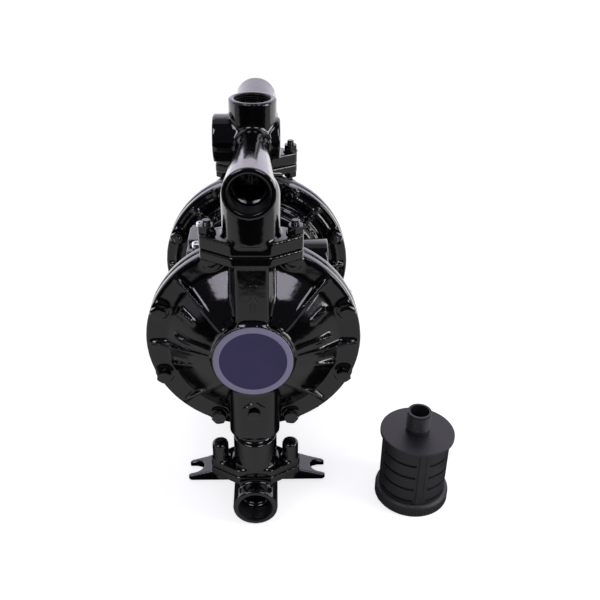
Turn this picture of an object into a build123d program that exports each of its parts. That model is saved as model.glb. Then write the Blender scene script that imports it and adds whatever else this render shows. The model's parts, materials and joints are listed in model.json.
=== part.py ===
from build123d import *

import os
from math import atan2, cos, degrees, radians, sin, sqrt

# Air operated double diaphragm pump with 1 inch ports, and its exhaust muffler.
# Frame: +Z up, origin on the floor under the middle of the pump. The pump axis runs along Y,
# the front liquid cover faces -Y, and +X is to the right of someone who faces that cover.

# ---- Driving dimensions, mm ----

# Ports and pipes
PORT_BOSS_R = 22.4  # outside of each 1 inch port boss
PORT_R = 16.7  # thread crest of a 1 inch port
PORT_DEPTH = 20.0
PIPE_BORE_R = 12.7
PIPE_WALL = 3.2
LEG_WALL = 5.8  # of the discharge legs, around the seats
BRANCH_STEP = 2.0  # from the upright port's radius in to its bore
GROUND_GAP = 1.0  # floor to the lowest point of a suction port

# Heights of the stack, from the suction pipe up
SUCTION_LEG = 28.1  # suction pipe axis to the lower seam
LOWER_NECK = 37.5  # lower seam to the edge of the cover's rim
RIM_R = 102.0  # outside radius of covers and air chambers
UPPER_NECK = 5.5  # edge of the rim to the upper seam
DISCHARGE_LEG = 62.2  # upper seam to the discharge pipe axis
UPRIGHT_PORT_RISE = 38.3  # discharge pipe axis to the upright port's face
SIDE_PORT_REACH = 37.2  # pump's middle plane to the side port's face
BLANK_BOSS_REACH = 25.8  # pump's middle plane to the blank boss's face
BLANK_BOSS_STEP = 3.0  # from a port boss's radius in to the blank boss's
ELBOW_DROP = 14.7  # discharge pipe axis to the middle of a leg's round top
FLARE_L = 91.2  # end port's face to the narrow end of its flare

# Depths of the stack, from the middle of the pump out
HUB_Y = 48.0  # outer face of each chamber gasket
CHAMBER_DEPTH = 30.6  # air chamber, back of its drum to its clamping face
DIAPHRAGM_T = 3.0
RIM_T = 9.8
BADGE_RISE = 33.6  # cover's rim face to the badge's face
COLUMN_OFFSET = 23.9  # cover's clamping face to the valve column's axis
DISCHARGE_REACH = 35.7  # valve column's axis to the discharge port's face
SUCTION_REACH = 35.5  # valve column's axis to the suction port's face

# Walls and clearances
WALL = 5.0
FIT = 0.05  # between pieces of one fit
GAP = 0.3  # between pieces that only pass each other
RIB_T = 3.0
GASKET_T = 0.8

# Liquid cover
BADGE_R = 36.8
BADGE_T = 1.8
BADGE_LIP = 1.0
RIM_FACE_W = 20.0  # flat of the rim, from the dome's foot to the edge
CLAMP_W = 19.0  # of the rim that holds the diaphragm
BOLT_EDGE = 8.0  # edge of the rim to the middle of a bolt
UPPER_COLUMN_W = 28.0  # flat front face of the discharge column
LOWER_COLUMN_W = 39.0  # flat front face of the suction column
COLUMN_FLARE = 5.0  # each side of a column, from its face to its root
BADGE_BOSS_WALL = 1.6  # around the badge
DOME_STEP = 7.0  # dome's top edge behind the badge boss's face
KNEE_SHARE = 0.503  # of the badge's rise, where the dome turns
KNEE_INSET = 23.0  # dome's foot in to its knee
KNEE_R = 50.0  # rounding of the knee
RIB_STEP = 5.0  # inner end of a rib's crest behind the badge boss's face
RIB_END_RISE = 1.2  # outer end of a rib's crest over the rim's face
RIB_EDGE = 4.5  # edge of the rim to the outer end of a rib
COLUMN_STEP = 3.2  # column's front face behind the badge boss's face
PLUG_STEP = 2.0  # suction column's front face ahead of the discharge column's
UPPER_COLUMN_EDGE_R = 2.5
LOWER_COLUMN_EDGE_R = 14.0
NECK_STEP = 4.5  # from the valve case's radius in to the neck over it
CASE_ROOF_T = 3.5
COLUMN_PASSAGE_R = 12.5
VALVE_CASE_R = 21.5  # outside of the suction valve case

# Flanges between covers and manifolds
FLANGE_HALF_W = 45.0
FLANGE_HALF_D = 21.0
FLANGE_END_D = 4.0
FLANGE_NOSE_W = 17.0
UPPER_FLANGE_T = 10.0
LOWER_FLANGE_T = 8.5
DISCHARGE_FLANGE_T = 13.0
SUCTION_FLANGE_T = 10.0
UPPER_BOLT_X = 37.7
LOWER_BOLT_X = 35.2
BOLT_BOSS_R = 8.2
BOLT_BOSS_H = 30.0

# Check valves
BALL_R = 15.5
BALL_LIFT = 8.0
SEAT_R = 19.0
SEAT_BORE_R = 11.5
SEAT_H = 7.0
SEAT_RING_H = 2.0
SEAT_SINK = 4.0  # how deep a seat sits in the lower of its two castings
SEAT_GAP = 0.2  # around a seat
BALL_ROOM = 2.3  # around a ball
STOP_BAR_W = 5.0

# Air chamber
DRUM_R = 73.5
DRUM_EDGE_R = 4.5
DRUM_WALL = 4.0

# Diaphragm group
STROKE = 8.0  # each way from the middle
SHAFT_R = 9.0
PLATE_R = 44.0
PLATE_T = 12.0
OUTER_PLATE_T = 10.0
PLATE_SCREW_R = 5.0
CONVOLUTION = 4.0

# Centre body
BODY_R = 45.0
BODY_END_R = 50.0
BODY_END_T = 8.0
BUSH_WALL = 3.0
BUSH_L = 16.0
SEAL_L = 4.6
SEAL_SINK = 0.4
PILOT_PIN_R = 3.0
PILOT_PIN_DROP = 30.0  # below the pump axis
PILOT_PIN_TRAVEL = 6.0
PILOT_GAP = 0.5  # pin's tip to the inner plate at the end of the stroke
PILOT_BUSH_L = 12.0

# Air valve, on the -X side
VALVE_X = 56.0
VALVE_T = 20.0
VALVE_HALF_W = 33.0
VALVE_HALF_H = 58.0
VALVE_CAP_T = 7.2
PAD_HALF_H = 46.0
SPOOL_R = 5.5
SPOOL_TRAVEL = 12.0
SLEEVE_WALL = 2.0
INLET_R = 6.6
INLET_Y = 20.0
CAP_SCREW_Y = 24.0
BLOCK_SCREW_Y = 26.0
BLOCK_SCREW_Z = 30.0

# Exhaust port, on the +X side
EXHAUST_RISE = 42.0
EXHAUST_R = 21.0
EXHAUST_REACH = 74.0
EXHAUST_PORT_R = 12.2
EXHAUST_DEPTH = 24.0

# Feet
FOOT_Y = 62.2
FOOT_REACH = 74.5
FOOT_T = 5.5
FOOT_TIP_W = 27.0
FOOT_ROOT_W = 29.0
FOOT_SLOT_W = 15.5
FOOT_SLOT_L = 16.0
FOOT_ROOT_H = 23.0

# Bolts
M8_R = 4.0
M8_ACROSS = 13.0
M8_HEAD_H = 5.3
M8_NUT_H = 6.5
M6_R = 3.0
M6_HEAD_R = 5.0
M6_HEAD_H = 6.0
WASHER_R = 8.0
WASHER_T = 1.6
STUD_END = 4.5  # bolt end that stands out of its nut
COVER_BOLTS = 8
COVER_BOSS_R = 9.0
COVER_BOSS_RISE = 2.0
CHAMBER_SCREW_R = 36.0  # radius of the circle of chamber screws
PLUG_R = 6.0
PLUG_HEAD_H = 3.5
PLUG_DROP = 61.6  # below the pump axis

# Muffler, standing on the floor at the right of the pump
MUFFLER_X = 166.0
MUFFLER_Y = -95.0
MUFFLER_H = 84.2
MUFFLER_R = 34.1
MUFFLER_TOP_R = 38.0
MUFFLER_TOP_T = 3.0
MUFFLER_WALL = 3.0
MUFFLER_CAP_R = 38.6
MUFFLER_CAP_H = 14.0
SPIGOT_R = 12.0
SPIGOT_BORE_R = 9.7
SPIGOT_H = 25.0
SLOT_ROWS = 4
SLOT_H = 2.8
FIRST_SLOT_RISE = 3.8  # above the base cap
SLOT_PITCH = 15.7
SLOT_ARC = 67.0  # degrees
PANELS = 4
PANEL_START = 15.0  # degrees, where the first panel's slots start

# ---- Places worked out from them ----

SUCTION_Z = PORT_BOSS_R + GROUND_GAP
LOWER_SEAM_Z = SUCTION_Z + SUCTION_LEG
AXIS_Z = LOWER_SEAM_Z + LOWER_NECK + RIM_R
UPPER_SEAM_Z = AXIS_Z + RIM_R + UPPER_NECK
DISCHARGE_Z = UPPER_SEAM_Z + DISCHARGE_LEG
UPRIGHT_PORT_Z = DISCHARGE_Z + UPRIGHT_PORT_RISE
PIPE_R = PIPE_BORE_R + PIPE_WALL

BODY_Y = HUB_Y - GASKET_T
CHAMBER_FACE_Y = HUB_Y + CHAMBER_DEPTH
CHAMBER_BACK_Y = CHAMBER_FACE_Y - RIM_T
COVER_FACE_Y = CHAMBER_FACE_Y + DIAPHRAGM_T
RIM_FACE_Y = COVER_FACE_Y + RIM_T
BADGE_Y = RIM_FACE_Y + BADGE_RISE
COLUMN_Y = COVER_FACE_Y + COLUMN_OFFSET
DISCHARGE_PORT_Y = COLUMN_Y + DISCHARGE_REACH
SUCTION_PORT_Y = COLUMN_Y + SUCTION_REACH
FLARE_END_Y = DISCHARGE_PORT_Y - FLARE_L
LEG_TOP_Z = DISCHARGE_Z - ELBOW_DROP

BADGE_SEAT_Y = BADGE_Y - BADGE_T
BADGE_BOSS_Y = BADGE_SEAT_Y + BADGE_LIP
BADGE_BOSS_R = BADGE_R + BADGE_BOSS_WALL
CAVITY_Y = BADGE_SEAT_Y - 2 * WALL
DOME_TOP_Y = BADGE_BOSS_Y - DOME_STEP
DOME_FOOT_R = RIM_R - RIM_FACE_W
CLAMP_R = RIM_R - CLAMP_W  # inner edge of the clamped rim
COVER_BOLT_R = RIM_R - BOLT_EDGE
DOME_KNEE_R = DOME_FOOT_R - KNEE_INSET
DOME_KNEE_Y = RIM_FACE_Y + KNEE_SHARE * BADGE_RISE
COLUMN_FACE_Y = BADGE_BOSS_Y - COLUMN_STEP
COVER_BOLT_HEAD_Y = RIM_FACE_Y + COVER_BOSS_RISE
COVER_NUT_Y = CHAMBER_BACK_Y - COVER_BOSS_RISE
RIB_START_R = BADGE_BOSS_R - 2
RIB_START_Y = BADGE_BOSS_Y - RIB_STEP
RIB_END_R = RIM_R - RIB_EDGE
RIB_END_Y = RIM_FACE_Y + RIB_END_RISE

SEAT_HOLE_R = SEAT_R + SEAT_GAP
LEG_R = SEAT_HOLE_R + LEG_WALL
VALVE_ROOM_R = BALL_R + BALL_ROOM
BALL_RISE = sqrt(BALL_R**2 - SEAT_BORE_R**2) + FIT  # seat's top to the ball's centre
DISCHARGE_SEAT_Z = UPPER_SEAM_Z - SEAT_SINK
SUCTION_SEAT_Z = LOWER_SEAM_Z - SEAT_SINK
BALL_TOP_RISE = SEAT_H + BALL_RISE + BALL_R + BALL_LIFT + GAP  # seat's foot to the ball's stop
NECK_Z = SUCTION_SEAT_Z + BALL_TOP_RISE  # roof of the suction valve's room

DRUM_FLOOR_Y = HUB_Y + DRUM_WALL
PLATE_IN_Y = CHAMBER_FACE_Y - PLATE_T
PLATE_OUT_Y = COVER_FACE_Y + OUTER_PLATE_T
PILOT_TIP_Y = PLATE_IN_Y - STROKE - PILOT_GAP
SEAL_Y = BODY_Y - SEAL_L - SEAL_SINK
BUSH_R = SHAFT_R + BUSH_WALL
PILOT_BUSH_R = 2 * PILOT_PIN_R

VALVE_OUT_X = -VALVE_X - VALVE_T / 2
VALVE_IN_X = -VALVE_X + VALVE_T / 2
PAD_X = VALVE_IN_X + GASKET_T
SLEEVE_R = SPOOL_R + SLEEVE_WALL
VALVE_TOP_Z = AXIS_Z + VALVE_HALF_H
VALVE_FOOT_Z = AXIS_Z - VALVE_HALF_H

# ---- Planes, outlines and shared steps ----

PROFILE = Plane.XY.offset(AXIS_Z)  # local x is the radius, local y is Y
PUMP_AXIS = Axis((0, 0, AXIS_Z), (0, 1, 0))


def save(builder, name):
    """Labels one finished piece, or one group of like pieces, and writes it."""
    builder.part.label = name
    export_step(builder.part, f"parts/{name}.step")


def save_pair(builder, name):
    """Writes a front piece and its mirror image at the rear."""
    save(builder, f"front_{name}")
    with BuildPart() as rear:
        mirror(builder.part, about=Plane.XZ)
    save(rear, f"rear_{name}")


def facing_front(y):
    """A plane square to the pump axis on its front side: local x is X, local y is Z."""
    return Plane(origin=(0, -y, AXIS_Z), x_dir=(1, 0, 0), z_dir=(0, -1, 0))


def radial_plane(angle):
    """A plane through the pump axis: local x is the radius at this angle, local y is Y."""
    across = (cos(radians(angle)), 0, sin(radians(angle)))
    normal = (-sin(radians(angle)), 0, cos(radians(angle)))
    return Plane(origin=(0, 0, AXIS_Z), x_dir=across, z_dir=normal)


def turned(points, radius):
    """Face of a profile given as (radius, distance in front of the middle) pairs."""
    with BuildSketch(PROFILE) as profile:
        with BuildLine():
            FilletPolyline(*[(r, -y) for r, y in points], radius=radius, close=True)
        make_face()
    return profile.sketch


def flange_face(z, centre_y):
    """Long eight-sided outline of a flange, at one height."""
    corners = [
        (FLANGE_HALF_W, FLANGE_END_D),
        (FLANGE_NOSE_W, FLANGE_HALF_D),
        (-FLANGE_NOSE_W, FLANGE_HALF_D),
        (-FLANGE_HALF_W, FLANGE_END_D),
        (-FLANGE_HALF_W, -FLANGE_END_D),
        (-FLANGE_NOSE_W, -FLANGE_HALF_D),
        (FLANGE_NOSE_W, -FLANGE_HALF_D),
        (FLANGE_HALF_W, -FLANGE_END_D),
    ]
    with BuildSketch(Plane.XY.offset(z)) as outline:
        with BuildLine():
            FilletPolyline(*[(x, centre_y + y) for x, y in corners], radius=3.0, close=True)
        make_face()
    return outline.sketch


def column_face(z, face_w, face_y, edge_r):
    """Section of a valve column: a flat front face that flares towards the rim."""
    half = face_w / 2
    root = half + COLUMN_FLARE
    shoulder_y = face_y - 2.5 * COLUMN_FLARE
    outline = [(-root, -COVER_FACE_Y), (-root, -shoulder_y), (-half, -face_y)]
    outline += [(-x, y) for x, y in reversed(outline)]
    with BuildSketch(Plane.XY.offset(z)) as section:
        with BuildLine():
            FilletPolyline(*outline, radius=[0, 3.0, edge_r, edge_r, 3.0, 0], close=True)
        make_face()
    return section.sketch


def disc(plane, radius, centre=(0, 0), hole=0.0):
    """A round face, or a ring, on a plane."""
    with BuildSketch(plane) as face:
        with Locations(centre):
            Circle(radius)
            if hole:
                Circle(hole, mode=Mode.SUBTRACT)
    return face.sketch


def hexagon(plane, centre, turn=0.0):
    """Head or nut outline of an M8 bolt."""
    with BuildSketch(plane) as face:
        with Locations(centre):
            RegularPolygon(M8_ACROSS / 2, 6, major_radius=False, rotation=turn)
    return face.sketch


def circle_points(radius, count, first):
    """Places on a circle about the pump axis, as (x, z) from the axis."""
    angles = [radians(first + 360 / count * i) for i in range(count)]
    return [(radius * cos(a), radius * sin(a)) for a in angles]


def rib_face(angle, start_r, end_r):
    """Outline of a cover's radial rib: its crest is a straight line from the badge boss to the rim."""
    fall = (RIB_START_Y - RIB_END_Y) / (RIB_END_R - RIB_START_R)
    start_y = RIB_START_Y - fall * (start_r - RIB_START_R)
    end_y = RIB_START_Y - fall * (end_r - RIB_START_R)
    root_y = RIM_FACE_Y - 2
    outline = [(start_r, root_y), (start_r, start_y), (end_r, end_y), (end_r, root_y)]
    with BuildSketch(radial_plane(angle)) as face:
        with BuildLine():
            Polyline(*[(r, -y) for r, y in outline], close=True)
        make_face()
    return face.sketch


BOLT_PLACES = circle_points(COVER_BOLT_R, COVER_BOLTS, 180 / COVER_BOLTS)
CHAMBER_SCREW_PLACES = circle_points(CHAMBER_SCREW_R, 4, 45)
RIB_ANGLES = (0, 45, 135, 180, 225, 315)
# Short ribs of the right half: angle, start radius, end radius; the left half mirrors them
SHORT_RIBS = ((-14, 60, 79), (10, RIB_START_R, 74), (30.5, 62, 78))

os.makedirs("parts", exist_ok=True)

# ---- Liquid covers ----

with BuildPart() as fluid_cover:
    # Rim, dome and badge boss, solid for now
    dome = [
        (0, COVER_FACE_Y),
        (RIM_R, COVER_FACE_Y),
        (RIM_R, RIM_FACE_Y),
        (DOME_FOOT_R, RIM_FACE_Y),
        (DOME_KNEE_R, DOME_KNEE_Y),
        (BADGE_BOSS_R, DOME_TOP_Y),
        (BADGE_BOSS_R, BADGE_BOSS_Y),
        (0, BADGE_BOSS_Y),
    ]
    revolve(turned(dome, [0, 0, 2.5, 2.0, KNEE_R, 2.0, 1.0, 0]), axis=PUMP_AXIS)
    # Six radial ribs over the dome, and short ones between them
    for angle in RIB_ANGLES:
        extrude(rib_face(angle, RIB_START_R, RIB_END_R), amount=RIB_T / 2, both=True)
    for angle, start_r, end_r in SHORT_RIBS:
        for turn in (angle, 180 - angle):
            extrude(rib_face(turn, start_r, end_r), amount=RIB_T / 2, both=True)
    # Bolt bosses on the rim
    for place in BOLT_PLACES:
        extrude(disc(facing_front(RIM_FACE_Y - 1), COVER_BOSS_R, place), amount=COVER_BOSS_RISE + 1)
    # A boss that overhangs the rim is cut back to it
    extrude(disc(facing_front(COVER_FACE_Y), 2 * RIM_R, hole=RIM_R), amount=BADGE_RISE, mode=Mode.SUBTRACT)
    # Discharge column and its flange
    upper_flange_z = UPPER_SEAM_Z - UPPER_FLANGE_T
    extrude(
        column_face(AXIS_Z + WALL, UPPER_COLUMN_W, COLUMN_FACE_Y, UPPER_COLUMN_EDGE_R),
        amount=upper_flange_z - AXIS_Z - WALL + 1,
    )
    extrude(flange_face(upper_flange_z, -COLUMN_Y), amount=UPPER_FLANGE_T)
    # Suction column, its neck, the valve case and the lower flange with its bolt bosses
    column_foot_z = NECK_Z + 2 * STOP_BAR_W
    extrude(
        column_face(column_foot_z, LOWER_COLUMN_W, COLUMN_FACE_Y + PLUG_STEP, LOWER_COLUMN_EDGE_R),
        amount=AXIS_Z - WALL - column_foot_z,
    )
    extrude(
        disc(Plane.XY.offset(NECK_Z), VALVE_CASE_R - NECK_STEP, (0, -COLUMN_Y)),
        amount=column_foot_z - NECK_Z + 1,
    )
    valve_case = disc(Plane.XY.offset(LOWER_SEAM_Z), VALVE_CASE_R, (0, -COLUMN_Y))
    extrude(valve_case, amount=NECK_Z + CASE_ROOF_T - LOWER_SEAM_Z)
    extrude(flange_face(LOWER_SEAM_Z, -COLUMN_Y), amount=LOWER_FLANGE_T)
    for side in (-1, 1):
        place = (side * LOWER_BOLT_X, -COLUMN_Y)
        extrude(disc(Plane.XY.offset(LOWER_SEAM_Z), BOLT_BOSS_R, place), amount=BOLT_BOSS_H)
        boss_top = fluid_cover.faces().filter_by(Axis.Z).filter_by_position(
            Axis.Z, LOWER_SEAM_Z + BOLT_BOSS_H - 0.01, LOWER_SEAM_Z + BOLT_BOSS_H + 0.01
        )
        boss_top = boss_top.sort_by_distance((*place, LOWER_SEAM_Z + BOLT_BOSS_H))[0]
        fillet(boss_top.edges(), radius=BOLT_BOSS_R / 3)
    # Liquid cavity
    cavity = [
        (0, COVER_FACE_Y),
        (CLAMP_R, COVER_FACE_Y),
        (CLAMP_R, RIM_FACE_Y - WALL),
        (DOME_KNEE_R - 0.7 * WALL, DOME_KNEE_Y - WALL),
        (BADGE_BOSS_R - WALL, CAVITY_Y),
        (0, CAVITY_Y),
    ]
    revolve(turned(cavity, [0, 0, 2.0, 24.0, 4.0, 0]), axis=PUMP_AXIS, mode=Mode.SUBTRACT)
    # Passages from the cavity to both seams
    passage_y = -COLUMN_Y + 1.5
    extrude(
        disc(Plane.XY.offset(AXIS_Z + BADGE_BOSS_R), COLUMN_PASSAGE_R, (0, passage_y)),
        amount=UPPER_SEAM_Z - AXIS_Z - BADGE_BOSS_R,
        mode=Mode.SUBTRACT,
    )
    extrude(
        disc(Plane.XY.offset(UPPER_SEAM_Z), SEAT_HOLE_R, (0, -COLUMN_Y)),
        amount=-SEAT_SINK - SEAT_RING_H,
        mode=Mode.SUBTRACT,
    )
    extrude(
        disc(Plane.XY.offset(NECK_Z - 1), COLUMN_PASSAGE_R, (0, passage_y)),
        amount=AXIS_Z - BADGE_BOSS_R - NECK_Z,
        mode=Mode.SUBTRACT,
    )
    extrude(
        disc(Plane.XY.offset(LOWER_SEAM_Z), VALVE_ROOM_R, (0, -COLUMN_Y)),
        amount=NECK_Z - LOWER_SEAM_Z,
        mode=Mode.SUBTRACT,
    )
    extrude(
        disc(Plane.XY.offset(LOWER_SEAM_Z), SEAT_HOLE_R, (0, -COLUMN_Y)),
        amount=SEAT_H - SEAT_SINK,
        mode=Mode.SUBTRACT,
    )
    # Bar that stops the suction ball
    with BuildSketch(Plane.XY.offset(NECK_Z)):
        with Locations((0, -COLUMN_Y)):
            Rectangle(2 * COLUMN_PASSAGE_R + 2, STOP_BAR_W)
    extrude(amount=STOP_BAR_W)
    # Holes: cover bolts, flange bolts, drain plug
    for place in BOLT_PLACES:
        extrude(disc(facing_front(COVER_FACE_Y), M8_R + GAP, place), amount=BADGE_RISE, mode=Mode.SUBTRACT)
    for side in (-1, 1):
        upper = disc(Plane.XY.offset(UPPER_SEAM_Z), M8_R + GAP, (side * UPPER_BOLT_X, -COLUMN_Y))
        extrude(upper, amount=-UPPER_FLANGE_T, mode=Mode.SUBTRACT)
        lower = disc(Plane.XY.offset(LOWER_SEAM_Z), M8_R + FIT, (side * LOWER_BOLT_X, -COLUMN_Y))
        extrude(lower, amount=BOLT_BOSS_H - WALL, mode=Mode.SUBTRACT)
    extrude(
        disc(facing_front(COLUMN_Y), PLUG_R - 1.5, (0, -PLUG_DROP)),
        amount=COLUMN_FACE_Y + PLUG_STEP + 1 - COLUMN_Y,
        mode=Mode.SUBTRACT,
    )
    # Shallow seat of the badge
    extrude(disc(facing_front(BADGE_SEAT_Y), BADGE_R + GAP), amount=BADGE_T, mode=Mode.SUBTRACT)

save_pair(fluid_cover, "fluid_cover")

with BuildPart() as badge:
    extrude(disc(facing_front(BADGE_SEAT_Y), BADGE_R), amount=BADGE_T)
    fillet(badge.faces().sort_by(Axis.Y)[0].edges(), radius=0.5)

save_pair(badge, "badge")

with BuildPart() as drain_plug:
    plug_face_y = COLUMN_FACE_Y + PLUG_STEP
    with BuildSketch(facing_front(plug_face_y)):
        with Locations((0, -PLUG_DROP)):
            RegularPolygon(PLUG_R, 6)
    extrude(amount=PLUG_HEAD_H)
    chamfer(drain_plug.faces().sort_by(Axis.Y)[0].edges(), length=0.6)
    extrude(disc(facing_front(plug_face_y), PLUG_R - 1.5 - FIT, (0, -PLUG_DROP)), amount=-WALL)

save_pair(drain_plug, "drain_plug")

# ---- Air chambers ----

with BuildPart() as air_chamber:
    # Drum and clamping flange, solid for now
    drum = [
        (0, HUB_Y),
        (DRUM_R, HUB_Y),
        (DRUM_R, CHAMBER_BACK_Y),
        (RIM_R, CHAMBER_BACK_Y),
        (RIM_R, CHAMBER_FACE_Y),
        (0, CHAMBER_FACE_Y),
    ]
    revolve(turned(drum, [0, DRUM_EDGE_R, 2.0, 2.5, 0, 0]), axis=PUMP_AXIS)
    # Radial ribs, ring ribs and nut bosses on the flange's back
    web = [
        (DRUM_R - 2, HUB_Y + 10),
        (RIM_R - 5, CHAMBER_BACK_Y - 3),
        (RIM_R - 5, CHAMBER_BACK_Y + 2),
        (DRUM_R - 2, CHAMBER_BACK_Y + 2),
    ]
    for angle in range(0, 360, 45):
        with BuildSketch(radial_plane(angle)):
            with BuildLine():
                Polyline(*[(r, -y) for r, y in web], close=True)
            make_face()
        extrude(amount=RIB_T / 2, both=True)
    for ring_r, rise in ((DRUM_R + 3, 6.0), (COVER_BOLT_R - 3.5, 3.0)):
        ring = disc(facing_front(CHAMBER_BACK_Y + 1), ring_r + 1, hole=ring_r - 1)
        extrude(ring, amount=-rise - 1)
    for place in BOLT_PLACES:
        extrude(disc(facing_front(CHAMBER_BACK_Y + 1), COVER_BOSS_R, place), amount=-COVER_BOSS_RISE - 1)
        nut_room = disc(facing_front(COVER_NUT_Y), COVER_BOSS_R, place)
        extrude(nut_room, amount=-M8_NUT_H - STUD_END, mode=Mode.SUBTRACT)
    extrude(disc(facing_front(CHAMBER_FACE_Y), 2 * RIM_R, hole=RIM_R), amount=-RIM_R / 2, mode=Mode.SUBTRACT)
    # Air cavity
    room = [
        (0, DRUM_FLOOR_Y),
        (DRUM_R - DRUM_WALL, DRUM_FLOOR_Y),
        (DRUM_R - DRUM_WALL, CHAMBER_BACK_Y + DRUM_WALL),
        (CLAMP_R, CHAMBER_FACE_Y - 3),
        (CLAMP_R, CHAMBER_FACE_Y),
        (0, CHAMBER_FACE_Y),
    ]
    revolve(turned(room, [0, 3.0, 2.0, 1.0, 0, 0]), axis=PUMP_AXIS, mode=Mode.SUBTRACT)
    # Holes: shaft, pilot pin, chamber screws and cover bolts
    end_wall = facing_front(DRUM_FLOOR_Y)
    extrude(disc(end_wall, SHAFT_R + 2), amount=HUB_Y - DRUM_FLOOR_Y, mode=Mode.SUBTRACT)
    pin_hole = disc(end_wall, PILOT_PIN_R + 2 * GAP, (0, -PILOT_PIN_DROP))
    extrude(pin_hole, amount=HUB_Y - DRUM_FLOOR_Y, mode=Mode.SUBTRACT)
    for place in CHAMBER_SCREW_PLACES:
        extrude(disc(end_wall, M6_R + GAP, place), amount=HUB_Y - DRUM_FLOOR_Y, mode=Mode.SUBTRACT)
    for place in BOLT_PLACES:
        hole = disc(facing_front(CHAMBER_FACE_Y), M8_R + GAP, place)
        extrude(hole, amount=-RIM_T - COVER_BOSS_RISE, mode=Mode.SUBTRACT)

save_pair(air_chamber, "air_chamber")

with BuildPart() as chamber_gasket:
    extrude(disc(facing_front(BODY_Y), BODY_END_R, hole=SHAFT_R + 2), amount=GASKET_T)
    extrude(
        disc(facing_front(BODY_Y), PILOT_PIN_R + 2 * GAP, (0, -PILOT_PIN_DROP)),
        amount=GASKET_T,
        mode=Mode.SUBTRACT,
    )
    for place in CHAMBER_SCREW_PLACES:
        extrude(disc(facing_front(BODY_Y), M6_R + GAP, place), amount=GASKET_T, mode=Mode.SUBTRACT)

save_pair(chamber_gasket, "chamber_gasket")

with BuildPart() as chamber_screws:
    for place in CHAMBER_SCREW_PLACES:
        extrude(disc(facing_front(DRUM_FLOOR_Y), M6_HEAD_R, place), amount=M6_HEAD_H)
        extrude(disc(facing_front(DRUM_FLOOR_Y), M6_R, place), amount=-DRUM_FLOOR_Y + HUB_Y - 4 * M6_R)

save_pair(chamber_screws, "chamber_screws")

# ---- Cover bolts and nuts ----

with BuildPart() as cover_bolts:
    for place in BOLT_PLACES:
        turn = degrees(atan2(place[1], place[0]))
        extrude(hexagon(facing_front(COVER_BOLT_HEAD_Y), place, turn), amount=M8_HEAD_H)
        shank_l = COVER_BOLT_HEAD_Y - COVER_NUT_Y + M8_NUT_H + STUD_END / 2
        extrude(disc(facing_front(COVER_BOLT_HEAD_Y), M8_R, place), amount=-shank_l)

save_pair(cover_bolts, "cover_bolts")

with BuildPart() as cover_nuts:
    for place in BOLT_PLACES:
        turn = degrees(atan2(place[1], place[0]))
        extrude(hexagon(facing_front(COVER_NUT_Y), place, turn), amount=-M8_NUT_H)
        extrude(
            disc(facing_front(COVER_NUT_Y), M8_R + FIT, place),
            amount=-M8_NUT_H,
            mode=Mode.SUBTRACT,
        )

save_pair(cover_nuts, "cover_nuts")

# ---- Discharge manifold ----

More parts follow.
